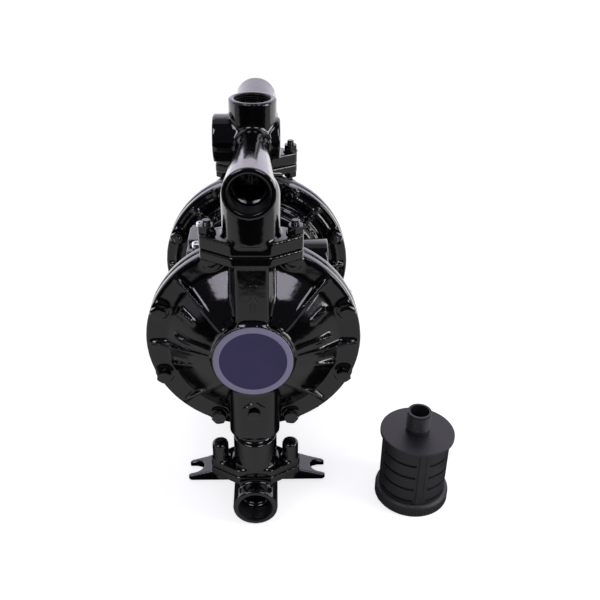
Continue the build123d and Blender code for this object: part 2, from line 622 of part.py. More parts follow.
with BuildPart() as discharge_manifold:
    along_y = Plane(origin=(0, 0, DISCHARGE_Z), x_dir=(1, 0, 0), z_dir=(0, -1, 0))
    extrude(disc(along_y, PIPE_R), amount=FLARE_END_Y + 1, both=True)
    for side in (-1, 1):
        # Leg with a round top, and the flare from the end port's face to the pipe
        leg_foot_z = UPPER_SEAM_Z + DISCHARGE_FLANGE_T - 2
        leg = disc(Plane.XY.offset(leg_foot_z), LEG_R, (0, side * COLUMN_Y))
        extrude(leg, amount=LEG_TOP_Z - leg_foot_z)
        with Locations((0, side * COLUMN_Y, LEG_TOP_Z)):
            Sphere(LEG_R)
        flare_start = Plane(origin=(0, side * FLARE_END_Y, DISCHARGE_Z), z_dir=(0, side, 0))
        flare_stop = Plane(origin=(0, side * DISCHARGE_PORT_Y, DISCHARGE_Z), z_dir=(0, side, 0))
        with BuildSketch(flare_start):
            Circle(PIPE_R)
        with BuildSketch(flare_stop):
            Circle(PORT_BOSS_R)
        loft()
        extrude(flange_face(UPPER_SEAM_Z, side * COLUMN_Y), amount=DISCHARGE_FLANGE_T)
    # Tee in the middle: upright port, side port and a blank boss opposite to it
    with Locations((0, 0, DISCHARGE_Z)):
        Sphere(PORT_BOSS_R - 0.6)
    extrude(disc(Plane.XY.offset(DISCHARGE_Z), PORT_BOSS_R), amount=UPRIGHT_PORT_RISE)
    side_plane = Plane(origin=(0, 0, DISCHARGE_Z), x_dir=(0, -1, 0), z_dir=(-1, 0, 0))
    extrude(disc(side_plane, PORT_BOSS_R), amount=SIDE_PORT_REACH)
    extrude(disc(side_plane, PORT_BOSS_R - BLANK_BOSS_STEP), amount=-BLANK_BOSS_REACH)
    # Bores
    extrude(disc(along_y, PIPE_BORE_R), amount=COLUMN_Y, both=True, mode=Mode.SUBTRACT)
    upright_bore = disc(Plane.XY.offset(DISCHARGE_Z), PORT_R - BRANCH_STEP)
    extrude(upright_bore, amount=UPRIGHT_PORT_RISE, mode=Mode.SUBTRACT)
    extrude(disc(side_plane, PORT_R - 1.5 * BRANCH_STEP), amount=SIDE_PORT_REACH, mode=Mode.SUBTRACT)
    upright_face = Plane.XY.offset(UPRIGHT_PORT_Z)
    extrude(disc(upright_face, PORT_R), amount=-PORT_DEPTH, mode=Mode.SUBTRACT)
    side_face = side_plane.offset(SIDE_PORT_REACH)
    extrude(disc(side_face, PORT_R), amount=-PORT_DEPTH, mode=Mode.SUBTRACT)
    ball_stop_z = DISCHARGE_SEAT_Z + BALL_TOP_RISE
    for side in (-1, 1):
        port_face = Plane(origin=(0, side * DISCHARGE_PORT_Y, DISCHARGE_Z), z_dir=(0, side, 0))
        extrude(disc(port_face, PORT_R), amount=-PORT_DEPTH, mode=Mode.SUBTRACT)
        extrude(disc(port_face, PIPE_BORE_R), amount=-DISCHARGE_REACH, mode=Mode.SUBTRACT)
        leg_bore = disc(Plane.XY.offset(UPPER_SEAM_Z), PIPE_BORE_R, (0, side * COLUMN_Y))
        extrude(leg_bore, amount=DISCHARGE_LEG, mode=Mode.SUBTRACT)
        ball_room = disc(Plane.XY.offset(UPPER_SEAM_Z), SEAT_HOLE_R, (0, side * COLUMN_Y))
        extrude(ball_room, amount=ball_stop_z - UPPER_SEAM_Z, mode=Mode.SUBTRACT)
        # Bar that stops the discharge ball
        with BuildSketch(Plane.XY.offset(ball_stop_z)):
            with Locations((0, side * COLUMN_Y)):
                Rectangle(2 * PIPE_BORE_R + 2, STOP_BAR_W)
        extrude(amount=STOP_BAR_W)
        for bolt_side in (-1, 1):
            place = (bolt_side * UPPER_BOLT_X, side * COLUMN_Y)
            hole = disc(Plane.XY.offset(UPPER_SEAM_Z), M8_R + GAP, place)
            extrude(hole, amount=DISCHARGE_FLANGE_T, mode=Mode.SUBTRACT)

save(discharge_manifold, "discharge_manifold")

# ---- Suction manifold with its feet ----

with BuildPart() as foot:
    # Plan of the foot at the front right, then its height cut to a wedge
    tip, root = FOOT_TIP_W / 2, FOOT_ROOT_W / 2
    plan = [(PIPE_BORE_R + 1, -root), (FOOT_REACH, -tip), (FOOT_REACH, tip), (PIPE_BORE_R + 1, root)]
    with BuildSketch():
        with BuildLine():
            FilletPolyline(*[(x, y - FOOT_Y) for x, y in plan], radius=[0, 2.0, 2.0, 0], close=True)
        make_face()
        slot_end_x = FOOT_REACH - FOOT_SLOT_L + FOOT_SLOT_W / 2
        with Locations((slot_end_x, -FOOT_Y)):
            Circle(FOOT_SLOT_W / 2, mode=Mode.SUBTRACT)
        with Locations((slot_end_x + FOOT_SLOT_L / 2, -FOOT_Y)):
            Rectangle(FOOT_SLOT_L, FOOT_SLOT_W, mode=Mode.SUBTRACT)
    extrude(amount=FOOT_ROOT_H)
    wedge = [(0, 0), (FOOT_REACH, 0), (FOOT_REACH, FOOT_T), (PIPE_R, FOOT_ROOT_H), (0, FOOT_ROOT_H)]
    with BuildSketch(Plane.XZ):
        with BuildLine():
            Polyline(*wedge, close=True)
        make_face()
    extrude(amount=2 * FOOT_Y + FOOT_ROOT_W, mode=Mode.INTERSECT)

with BuildPart() as suction_manifold:
    for x_mirror in (False, True):
        for y_mirror in (False, True):
            one = mirror(foot.part, about=Plane.YZ, mode=Mode.PRIVATE) if x_mirror else foot.part
            one = mirror(one, about=Plane.XZ, mode=Mode.PRIVATE) if y_mirror else one
            add(one)
    suction_along_y = Plane(origin=(0, 0, SUCTION_Z), x_dir=(1, 0, 0), z_dir=(0, -1, 0))
    extrude(disc(suction_along_y, PIPE_R), amount=COLUMN_Y, both=True)
    for side in (-1, 1):
        port_root_y = COLUMN_Y - PORT_BOSS_R
        port_root = Plane(origin=(0, side * port_root_y, SUCTION_Z), z_dir=(0, side, 0))
        extrude(disc(port_root, PORT_BOSS_R), amount=SUCTION_PORT_Y - port_root_y)
        leg = disc(Plane.XY.offset(SUCTION_Z), VALVE_CASE_R, (0, side * COLUMN_Y))
        extrude(leg, amount=SUCTION_LEG - SUCTION_FLANGE_T + 1)
        extrude(flange_face(LOWER_SEAM_Z, side * COLUMN_Y), amount=-SUCTION_FLANGE_T)
    # Bores
    extrude(disc(suction_along_y, PIPE_BORE_R), amount=SUCTION_PORT_Y, both=True, mode=Mode.SUBTRACT)
    for side in (-1, 1):
        port_face = Plane(origin=(0, side * SUCTION_PORT_Y, SUCTION_Z), z_dir=(0, side, 0))
        extrude(disc(port_face, PORT_R), amount=-PORT_DEPTH, mode=Mode.SUBTRACT)
        leg_bore = disc(Plane.XY.offset(SUCTION_Z), PIPE_BORE_R, (0, side * COLUMN_Y))
        extrude(leg_bore, amount=SUCTION_LEG, mode=Mode.SUBTRACT)
        seat_hole = disc(Plane.XY.offset(LOWER_SEAM_Z), SEAT_HOLE_R, (0, side * COLUMN_Y))
        extrude(seat_hole, amount=-SEAT_SINK - SEAT_RING_H, mode=Mode.SUBTRACT)
        for bolt_side in (-1, 1):
            place = (bolt_side * LOWER_BOLT_X, side * COLUMN_Y)
            hole = disc(Plane.XY.offset(LOWER_SEAM_Z), M8_R + GAP, place)
            extrude(hole, amount=-SUCTION_FLANGE_T, mode=Mode.SUBTRACT)

save(suction_manifold, "suction_manifold")

# ---- Flange fasteners ----

UPPER_BOLT_PLACES = [(x, y) for x in (-UPPER_BOLT_X, UPPER_BOLT_X) for y in (-COLUMN_Y, COLUMN_Y)]
LOWER_BOLT_PLACES = [(x, y) for x in (-LOWER_BOLT_X, LOWER_BOLT_X) for y in (-COLUMN_Y, COLUMN_Y)]
washer_z = UPPER_SEAM_Z + DISCHARGE_FLANGE_T
nut_z = washer_z + WASHER_T
bolt_head_z = UPPER_SEAM_Z - UPPER_FLANGE_T
suction_head_z = LOWER_SEAM_Z - SUCTION_FLANGE_T

with BuildPart() as discharge_flange_bolts:
    for place in UPPER_BOLT_PLACES:
        extrude(hexagon(Plane.XY.offset(bolt_head_z), place), amount=-M8_HEAD_H)
        shank_l = nut_z + M8_NUT_H + STUD_END - bolt_head_z
        extrude(disc(Plane.XY.offset(bolt_head_z), M8_R, place), amount=shank_l)

save(discharge_flange_bolts, "discharge_flange_bolts")

with BuildPart() as discharge_flange_washers:
    for place in UPPER_BOLT_PLACES:
        extrude(disc(Plane.XY.offset(washer_z), WASHER_R, place, M8_R + GAP), amount=WASHER_T)

save(discharge_flange_washers, "discharge_flange_washers")

with BuildPart() as discharge_flange_nuts:
    for place in UPPER_BOLT_PLACES:
        extrude(hexagon(Plane.XY.offset(nut_z), place), amount=M8_NUT_H)
        extrude(disc(Plane.XY.offset(nut_z), M8_R + FIT, place), amount=M8_NUT_H, mode=Mode.SUBTRACT)

save(discharge_flange_nuts, "discharge_flange_nuts")

with BuildPart() as suction_flange_bolts:
    for place in LOWER_BOLT_PLACES:
        extrude(hexagon(Plane.XY.offset(suction_head_z), place, 30), amount=-M8_HEAD_H)
        shank_l = SUCTION_FLANGE_T + BOLT_BOSS_H - 2 * WALL
        extrude(disc(Plane.XY.offset(suction_head_z), M8_R, place), amount=shank_l)

save(suction_flange_bolts, "suction_flange_bolts")

# ---- Check valves: seats, their rings and balls ----

for name, seat_z in (("suction", SUCTION_SEAT_Z), ("discharge", DISCHARGE_SEAT_Z)):
    with BuildPart() as seats:
        for side in (-1, 1):
            extrude(disc(Plane.XY.offset(seat_z), SEAT_R, (0, side * COLUMN_Y), SEAT_BORE_R), amount=SEAT_H)
    save(seats, f"{name}_seats")
    with BuildPart() as rings:
        for side in (-1, 1):
            ring = disc(Plane.XY.offset(seat_z), SEAT_R, (0, side * COLUMN_Y), SEAT_R - 4)
            extrude(ring, amount=-SEAT_RING_H)
    save(rings, f"{name}_seat_rings")
    for end, side in (("front", -1), ("rear", 1)):
        with BuildPart() as ball:
            with Locations((0, side * COLUMN_Y, seat_z + SEAT_H + BALL_RISE)):
                Sphere(BALL_R)
        save(ball, f"{end}_{name}_ball")

# ---- Diaphragms, their plates and the shaft ----

with BuildPart() as diaphragm:
    # A flat disc with one soft fold towards the air side
    flex_mid_r = (PLATE_R + CLAMP_R) / 2
    fold = [
        (PLATE_R + 1, COVER_FACE_Y),
        (flex_mid_r - 6, COVER_FACE_Y - CONVOLUTION),
        (flex_mid_r + 6, COVER_FACE_Y - CONVOLUTION),
        (CLAMP_R - 1, COVER_FACE_Y),
    ]
    section = [(SHAFT_R + FIT, COVER_FACE_Y)] + fold + [(RIM_R - 1, COVER_FACE_Y)]
    section += [(r, y - DIAPHRAGM_T) for r, y in reversed(section)]
    radii = [0, 6, 8, 8, 6, 0, 0, 6, 8, 8, 6, 0]
    revolve(turned(section, radii), axis=PUMP_AXIS)
    for place in BOLT_PLACES:
        hole = disc(facing_front(CHAMBER_FACE_Y), M8_R + GAP, place)
        extrude(hole, amount=DIAPHRAGM_T, mode=Mode.SUBTRACT)

save_pair(diaphragm, "diaphragm")

with BuildPart() as outer_plate:
    plate = [
        (PLATE_SCREW_R + FIT, COVER_FACE_Y),
        (PLATE_R, COVER_FACE_Y),
        (PLATE_R, COVER_FACE_Y + 4),
        (PLATE_R / 2, PLATE_OUT_Y),
        (PLATE_SCREW_R + FIT, PLATE_OUT_Y),
    ]
    revolve(turned(plate, [0, 1.5, 2.0, 4.0, 0]), axis=PUMP_AXIS)

save_pair(outer_plate, "outer_plate")

with BuildPart() as inner_plate:
    plate = [
        (SHAFT_R + FIT, CHAMBER_FACE_Y),
        (PLATE_R, CHAMBER_FACE_Y),
        (PLATE_R, PLATE_IN_Y),
        (SHAFT_R + FIT, PLATE_IN_Y),
    ]
    revolve(turned(plate, [0, 1.5, 3.0, 0]), axis=PUMP_AXIS)

save_pair(inner_plate, "inner_plate")

SCREW_BITE = 4 * PLATE_SCREW_R
across_pump = Plane(origin=(0, 0, AXIS_Z), x_dir=(1, 0, 0), z_dir=(0, -1, 0))

with BuildPart() as diaphragm_shaft:
    extrude(disc(across_pump, SHAFT_R), amount=COVER_FACE_Y, both=True)
    for face in (facing_front(COVER_FACE_Y), facing_front(-COVER_FACE_Y + SCREW_BITE + 1)):
        extrude(disc(face, PLATE_SCREW_R + FIT), amount=-SCREW_BITE - 1, mode=Mode.SUBTRACT)

save(diaphragm_shaft, "diaphragm_shaft")

with BuildPart() as plate_screws:
    extrude(disc(facing_front(PLATE_OUT_Y), 2 * PLATE_SCREW_R - 1), amount=PLATE_SCREW_R)
    extrude(disc(facing_front(PLATE_OUT_Y), PLATE_SCREW_R), amount=COVER_FACE_Y - SCREW_BITE - PLATE_OUT_Y)
    mirror(plate_screws.part, about=Plane.XZ)

save(plate_screws, "plate_screws")

# ---- Centre body with the exhaust port ----

with BuildPart() as centre_body:
    extrude(disc(across_pump, BODY_R), amount=BODY_Y, both=True)
    extrude(disc(facing_front(BODY_Y), BODY_END_R), amount=-BODY_END_T)
    extrude(disc(facing_front(-BODY_Y), BODY_END_R), amount=BODY_END_T)
    # Pad for the air valve
    pad_plane = Plane(origin=(PAD_X, 0, AXIS_Z), x_dir=(0, -1, 0), z_dir=(-1, 0, 0))
    with BuildSketch(pad_plane):
        Rectangle(2 * VALVE_HALF_W, 2 * PAD_HALF_H)
    extrude(amount=PAD_X + PIPE_R)
    # Exhaust boss
    exhaust_plane = Plane(origin=(EXHAUST_REACH, 0, AXIS_Z + EXHAUST_RISE), x_dir=(0, 1, 0), z_dir=(1, 0, 0))
    extrude(disc(exhaust_plane, EXHAUST_R), amount=-EXHAUST_REACH + EXHAUST_R)
    # Shaft bore, seal pockets and bush seats
    extrude(disc(across_pump, SHAFT_R + 1), amount=BODY_Y, both=True, mode=Mode.SUBTRACT)
    for side in (-1, 1):
        end = Plane(origin=(0, side * BODY_Y, AXIS_Z), x_dir=(side, 0, 0), z_dir=(0, side, 0))
        extrude(disc(end, BUSH_R + 1), amount=SEAL_Y - BODY_Y, mode=Mode.SUBTRACT)
        extrude(disc(end, BUSH_R + FIT), amount=SEAL_Y - BUSH_L - BODY_Y, mode=Mode.SUBTRACT)
    # Pilot pin bores and chamber screw holes
    for side in (-1, 1):
        end = Plane(origin=(0, side * BODY_Y, AXIS_Z), x_dir=(1, 0, 0), z_dir=(0, side, 0))
        drop = (0, side * PILOT_PIN_DROP)
        extrude(disc(end, PILOT_BUSH_R + FIT, drop), amount=-PILOT_BUSH_L, mode=Mode.SUBTRACT)
        extrude(disc(end, PILOT_PIN_R + GAP, drop), amount=-BODY_Y + PILOT_PIN_TRAVEL, mode=Mode.SUBTRACT)
        for place in CHAMBER_SCREW_PLACES:
            extrude(disc(end, M6_R + FIT, place), amount=-5 * M6_R, mode=Mode.SUBTRACT)
    # Exhaust port and the passage behind it
    extrude(disc(exhaust_plane, EXHAUST_PORT_R), amount=-EXHAUST_DEPTH, mode=Mode.SUBTRACT)
    extrude(disc(exhaust_plane, SPIGOT_BORE_R), amount=-EXHAUST_REACH + PIPE_R, mode=Mode.SUBTRACT)
    # Blind holes for the valve block's screws
    for y in (-BLOCK_SCREW_Y, BLOCK_SCREW_Y):
        for z in (-BLOCK_SCREW_Z, BLOCK_SCREW_Z):
            extrude(disc(pad_plane, M6_R + FIT, (y, z)), amount=-4 * M6_R, mode=Mode.SUBTRACT)

save(centre_body, "centre_body")

with BuildPart() as shaft_bushes:
    extrude(disc(facing_front(SEAL_Y), BUSH_R, hole=SHAFT_R + FIT), amount=-BUSH_L)
    mirror(shaft_bushes.part, about=Plane.XZ)

save(shaft_bushes, "shaft_bushes")

with BuildPart() as shaft_seals:
    extrude(disc(facing_front(SEAL_Y), BUSH_R + 1 - FIT, hole=SHAFT_R + FIT), amount=SEAL_L)
    mirror(shaft_seals.part, about=Plane.XZ)

save(shaft_seals, "shaft_seals")

with BuildPart() as pilot_bushes:
    place = (0, -PILOT_PIN_DROP)
    extrude(disc(facing_front(BODY_Y), PILOT_BUSH_R, place, PILOT_PIN_R + FIT), amount=-PILOT_BUSH_L)
    mirror(pilot_bushes.part, about=Plane.XZ)

save(pilot_bushes, "pilot_bushes")

with BuildPart() as pilot_pin:
    pin_l = PILOT_TIP_Y - BODY_Y + PILOT_BUSH_L + PILOT_PIN_TRAVEL
    extrude(disc(facing_front(PILOT_TIP_Y), PILOT_PIN_R, (0, -PILOT_PIN_DROP)), amount=-pin_l)
    chamfer(pilot_pin.edges().filter_by(GeomType.CIRCLE), length=0.6)

save_pair(pilot_pin, "pilot_pin")

# ---- Air valve ----

block_screw_places = [
    (y, z) for y in (-BLOCK_SCREW_Y, BLOCK_SCREW_Y) for z in (-BLOCK_SCREW_Z, BLOCK_SCREW_Z)
]
valve_face = Plane(origin=(VALVE_OUT_X, 0, AXIS_Z), x_dir=(0, -1, 0), z_dir=(-1, 0, 0))
cap_screw_places = [(-VALVE_X, -CAP_SCREW_Y), (-VALVE_X, CAP_SCREW_Y)]


def valve_plate(plane, thickness, hole_r, screw_hole_r):
    """Block, cap or gasket of the air valve, extruded from a level plane."""
    with BuildPart() as plate:
        with BuildSketch(plane):
            with Locations((-VALVE_X, 0)):
                RectangleRounded(VALVE_T, 2 * VALVE_HALF_W, 3.0)
        extrude(amount=thickness)
        if hole_r:
            extrude(disc(plane, hole_r, (-VALVE_X, 0)), amount=thickness, mode=Mode.SUBTRACT)
        if screw_hole_r:
            for place in cap_screw_places:
                extrude(disc(plane, screw_hole_r, place), amount=thickness, mode=Mode.SUBTRACT)
    return plate.part


with BuildPart() as valve_block:
    add(valve_plate(Plane.XY.offset(VALVE_FOOT_Z), 2 * VALVE_HALF_H, SLEEVE_R + FIT, 0))
    for level, into in ((VALVE_TOP_Z, -1), (VALVE_FOOT_Z, 1)):
        for place in cap_screw_places:
            hole = disc(Plane.XY.offset(level), M6_R + FIT, place)
            extrude(hole, amount=into * 5 * M6_R, mode=Mode.SUBTRACT)
    for place in block_screw_places:
        extrude(disc(valve_face, M6_R + GAP, place), amount=-VALVE_T, mode=Mode.SUBTRACT)
        extrude(disc(valve_face, M6_HEAD_R + GAP, place), amount=-M6_HEAD_H - 1, mode=Mode.SUBTRACT)
    extrude(disc(valve_face, INLET_R, (-INLET_Y, 0)), amount=-VALVE_T + WALL, mode=Mode.SUBTRACT)

save(valve_block, "valve_block")

with BuildPart() as valve_block_screws:
    for place in block_screw_places:
        head_face = valve_face.offset(-M6_HEAD_H - 1)
        extrude(disc(head_face, M6_HEAD_R, place), amount=M6_HEAD_H)
        extrude(disc(head_face, M6_R, place), amount=-VALVE_T + M6_HEAD_H + 1 - GASKET_T - 3 * M6_R)

save(valve_block_screws, "valve_block_screws")

with BuildPart() as valve_gasket:
    with BuildSketch(pad_plane):
        Rectangle(2 * VALVE_HALF_W, 2 * PAD_HALF_H)
        with Locations(*block_screw_places):
            Circle(M6_R + GAP, mode=Mode.SUBTRACT)
        with Locations((0, 0)):
            SlotOverall(30, 10, mode=Mode.SUBTRACT)
    extrude(amount=GASKET_T)

save(valve_gasket, "valve_gasket")

with BuildPart() as valve_cap_gaskets:
    add(valve_plate(Plane.XY.offset(VALVE_TOP_Z), GASKET_T, SLEEVE_R, M6_R + GAP))
    add(valve_plate(Plane.XY.offset(VALVE_FOOT_Z - GASKET_T), GASKET_T, SLEEVE_R, M6_R + GAP))

save(valve_cap_gaskets, "valve_cap_gaskets")

cap_top_z = VALVE_TOP_Z + GASKET_T + VALVE_CAP_T
cap_foot_z = VALVE_FOOT_Z - GASKET_T - VALVE_CAP_T

with BuildPart() as valve_top_cap:
    add(valve_plate(Plane.XY.offset(VALVE_TOP_Z + GASKET_T), VALVE_CAP_T, 0, M6_R + GAP))
    # Raised crown between the two screws
    with BuildSketch(Plane.XY.offset(cap_top_z)):
        with Locations((-VALVE_X, 0)):
            RectangleRounded(VALVE_T, 2 * (CAP_SCREW_Y - M6_HEAD_R) - 4, 3.0)
    extrude(amount=M6_HEAD_H - 1)

save(valve_top_cap, "valve_top_cap")

with BuildPart() as valve_bottom_cap:
    add(valve_plate(Plane.XY.offset(cap_foot_z), VALVE_CAP_T, 0, M6_R + GAP))

save(valve_bottom_cap, "valve_bottom_cap")

with BuildPart() as valve_cap_screws:
    socket_r = M6_HEAD_R / 2
    for level, out in ((cap_top_z, 1), (cap_foot_z, -1)):
        for place in cap_screw_places:
            extrude(disc(Plane.XY.offset(level), M6_HEAD_R, place), amount=out * M6_HEAD_H)
            extrude(disc(Plane.XY.offset(level), M6_R, place), amount=-out * (VALVE_CAP_T + 4 * M6_R))
            with BuildSketch(Plane.XY.offset(level + out * M6_HEAD_H)):
                with Locations(place):
                    RegularPolygon(socket_r, 6)
            extrude(amount=-out * M6_HEAD_H / 2, mode=Mode.SUBTRACT)

save(valve_cap_screws, "valve_cap_screws")

with BuildPart() as valve_sleeve:
    foot_plane = Plane.XY.offset(VALVE_FOOT_Z + GAP)
    place = (-VALVE_X, 0)
    extrude(disc(foot_plane, SLEEVE_R, place, SPOOL_R + FIT), amount=2 * (VALVE_HALF_H - GAP))

save(valve_sleeve, "valve_sleeve")

SPOOL_L = 2 * VALVE_HALF_H - SPOOL_TRAVEL - 4
SPOOL_FOOT_Z = VALVE_FOOT_Z + 2

with BuildPart() as valve_spool:
    extrude(disc(Plane.XY.offset(SPOOL_FOOT_Z), SPOOL_R, (-VALVE_X, 0)), amount=SPOOL_L)
    # Three waists between the lands
    for share in (0.2, 0.5, 0.8):
        waist = Plane.XY.offset(SPOOL_FOOT_Z + share * SPOOL_L - SPOOL_R)
        ring = disc(waist, SPOOL_R + 1, (-VALVE_X, 0), SPOOL_R / 2)
        extrude(ring, amount=2 * SPOOL_R, mode=Mode.SUBTRACT)

save(valve_spool, "valve_spool")

# ---- Muffler ----

muffler_place = (MUFFLER_X, MUFFLER_Y)
muffler_axis = Axis((MUFFLER_X, MUFFLER_Y, 0), (0, 0, 1))
shell_floor_z = MUFFLER_CAP_H / 2
lid_z = MUFFLER_H - MUFFLER_TOP_T

with BuildPart() as muffler_body:
    extrude(disc(Plane.XY.offset(shell_floor_z), MUFFLER_R, muffler_place), amount=lid_z - shell_floor_z)
    extrude(disc(Plane.XY.offset(lid_z), MUFFLER_TOP_R, muffler_place), amount=MUFFLER_TOP_T)
    fillet(muffler_body.edges().group_by(Axis.Z)[-1], radius=1.0)
    extrude(disc(Plane.XY.offset(MUFFLER_H), SPIGOT_R, muffler_place), amount=SPIGOT_H)
    inside = disc(Plane.XY.offset(shell_floor_z), MUFFLER_R - MUFFLER_WALL, muffler_place)
    extrude(inside, amount=lid_z - shell_floor_z, mode=Mode.SUBTRACT)
    spigot_bore = disc(Plane.XY.offset(MUFFLER_H - MUFFLER_WALL), SPIGOT_BORE_R, muffler_place)
    extrude(spigot_bore, amount=SPIGOT_H + MUFFLER_WALL, mode=Mode.SUBTRACT)
    # Rows of air slots, in panels parted by plain bands
    for row in range(SLOT_ROWS):
        slot_z = MUFFLER_CAP_H + FIRST_SLOT_RISE + row * SLOT_PITCH
        for panel in range(PANELS):
            angle = PANEL_START + 360 / PANELS * panel
            side_plane = Plane(
                origin=(MUFFLER_X, MUFFLER_Y, slot_z),
                x_dir=(cos(radians(angle)), sin(radians(angle)), 0),
                z_dir=(sin(radians(angle)), -cos(radians(angle)), 0),
            )
            with BuildSketch(side_plane):
                with Locations((MUFFLER_R - MUFFLER_WALL / 2, 0)):
                    Rectangle(MUFFLER_WALL + 2, SLOT_H)
            revolve(axis=muffler_axis, revolution_arc=SLOT_ARC, mode=Mode.SUBTRACT)

save(muffler_body, "muffler_body")

with BuildPart() as muffler_base_cap:
    extrude(disc(Plane.XY, MUFFLER_CAP_R, muffler_place), amount=MUFFLER_CAP_H)
    chamfer(muffler_base_cap.edges().group_by(Axis.Z)[-1], length=3.0)
    pocket = disc(Plane.XY.offset(shell_floor_z), MUFFLER_R + FIT, muffler_place)
    extrude(pocket, amount=MUFFLER_CAP_H, mode=Mode.SUBTRACT)

save(muffler_base_cap, "muffler_base_cap")

with BuildPart() as muffler_element:
    element_r = MUFFLER_R - MUFFLER_WALL - 1
    element = disc(Plane.XY.offset(shell_floor_z), element_r, muffler_place, element_r - 8)
    extrude(element, amount=lid_z - shell_floor_z - GAP)

save(muffler_element, "muffler_element")
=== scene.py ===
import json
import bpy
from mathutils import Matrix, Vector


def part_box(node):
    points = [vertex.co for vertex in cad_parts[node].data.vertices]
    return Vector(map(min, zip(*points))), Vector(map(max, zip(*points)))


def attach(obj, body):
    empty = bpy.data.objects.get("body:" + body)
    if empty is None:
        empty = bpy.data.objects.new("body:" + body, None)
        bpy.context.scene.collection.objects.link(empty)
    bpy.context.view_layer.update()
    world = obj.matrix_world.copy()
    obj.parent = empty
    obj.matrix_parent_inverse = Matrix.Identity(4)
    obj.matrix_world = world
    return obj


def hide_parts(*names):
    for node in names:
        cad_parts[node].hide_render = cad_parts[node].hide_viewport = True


bl_info = {
    "name": "Air Operated Diaphragm Pump",
    "version": (1, 0, 0),
    "blender": (4, 5, 0),
    "location": "View3D > Sidebar > Pump",
    "description": "Builds the pump's painted castings, fasteners, threads, badges and muffler",
    "category": "Add Mesh",
}

from math import cos, radians, sin, tau

import bmesh
import bpy
import numpy as np
from mathutils import Matrix, Vector
from mathutils.bvhtree import BVHTree

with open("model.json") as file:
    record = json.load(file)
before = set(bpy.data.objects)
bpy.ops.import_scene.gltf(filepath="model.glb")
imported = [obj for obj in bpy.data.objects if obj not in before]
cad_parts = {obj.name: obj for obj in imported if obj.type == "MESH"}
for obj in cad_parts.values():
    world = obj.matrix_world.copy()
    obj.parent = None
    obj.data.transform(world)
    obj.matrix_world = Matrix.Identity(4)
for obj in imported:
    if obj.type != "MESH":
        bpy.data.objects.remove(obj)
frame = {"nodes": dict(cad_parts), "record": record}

MM = 0.001


# ---- Places read from the pump's own nodes, in millimetres ----


def node_box(node):
    """Lowest and highest corner of a node, in millimetres."""
    low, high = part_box(node)
    return np.array(low) / MM, np.array(high) / MM


def node_middle(node):
    """Centre of a node's box, in millimetres."""
    low, high = node_box(node)
    return (low + high) / 2


def outer_and_inner(node, side):
    """Y of a node's face towards its end of the pump, -1 front or 1 rear, and of its inner face."""
    low, high = node_box(node)
    return (low[1], high[1]) if side < 0 else (high[1], low[1])


ENDS = (("front", -1), ("rear", 1))  # an end of the pump, and its side along Y
AXIS_Z = float(node_middle("front_badge")[2])
COLUMN_Y = float(-node_middle("front_discharge_ball")[1])
BADGE_LOW, BADGE_HIGH = node_box("front_badge")
MUFFLER_LOW, MUFFLER_HIGH = node_box("muffler_body")
MUFFLER_X, MUFFLER_Y, _ = node_middle("muffler_body")


# ---- Settings ----


class PumpPaintSettings(bpy.types.PropertyGroup):
    """Black paint over the castings"""

    colour: bpy.props.FloatVectorProperty(
        name="Paint colour",
        description="Colour of the gloss paint",
        subtype="COLOR",
        size=3,
        default=(0.0018, 0.0017, 0.0021),
        min=0.0,
        max=1.0,
    )
    roughness: bpy.props.FloatProperty(
        name="Paint roughness",
        description="How much the paint spreads a reflection",
        default=0.1,
        min=0.02,
        max=1.0,
        subtype="FACTOR",
    )
    grain: bpy.props.FloatProperty(
        name="Paint grain",
        description="Strength of the fine unevenness of the paint",
        default=0.12,
        min=0.0,
        max=1.0,
        subtype="FACTOR",
    )


class PumpCastingSettings(bpy.types.PropertyGroup):
    """Rounding of the castings' edges"""

    cell: bpy.props.FloatProperty(
        name="Cell size",
        description="Size of the cells that a casting's skin is rebuilt from",
        default=0.00124,
        min=0.0007,
        max=0.004,
        unit="LENGTH",
    )
    passes: bpy.props.IntProperty(
        name="Smoothing passes",
        description="How often the skin is relaxed, which fills the inner corners",
        default=9,
        min=0,
        max=40,
    )
    crispness: bpy.props.FloatProperty(
        name="Crispness",
        description="How much the outer edges are kept from being rounded",
        default=0.8,
        min=0.0,
        max=1.0,
        subtype="FACTOR",
    )


class PumpThreadSettings(bpy.types.PropertyGroup):
    """Threads of the ports"""

    pitch: bpy.props.FloatProperty(
        name="Pitch",
        description="Distance between two turns of a port's thread",
        default=0.0022,
        min=0.001,
        max=0.005,
        unit="LENGTH",
    )
    depth: bpy.props.FloatProperty(
        name="Depth",
        description="Height of the thread",
        default=0.0011,
        min=0.0002,
        max=0.002,
        unit="LENGTH",
    )


class PumpBadgeSettings(bpy.types.PropertyGroup):
    """Round badge of each liquid cover"""

    colour: bpy.props.FloatVectorProperty(
        name="Badge colour",
        description="Colour of the badge's field",
        subtype="COLOR",
        size=3,
        default=(0.046, 0.039, 0.108),
        min=0.0,
        max=1.0,
    )
    rim_colour: bpy.props.FloatVectorProperty(
        name="Rim colour",
        description="Colour of the badge's rim",
        subtype="COLOR",
        size=3,
        default=(0.27, 0.262, 0.37),
        min=0.0,
        max=1.0,
    )
    rim_width: bpy.props.FloatProperty(
        name="Rim width",
        description="Width of the badge's rim",
        default=0.0056,
        min=0.001,
        max=0.01,
        unit="LENGTH",
    )


class PumpMufflerSettings(bpy.types.PropertyGroup):
    """Exhaust muffler"""

    colour: bpy.props.FloatVectorProperty(
        name="Muffler colour",
        description="Colour of the muffler's plastic",
        subtype="COLOR",
        size=3,
        default=(0.0105, 0.0102, 0.012),
        min=0.0,
        max=1.0,
    )
    knurls: bpy.props.IntProperty(
        name="Grip ribs",
        description="Number of grip ribs round the base cap",
        default=72,
        min=12,
        max=200,
    )


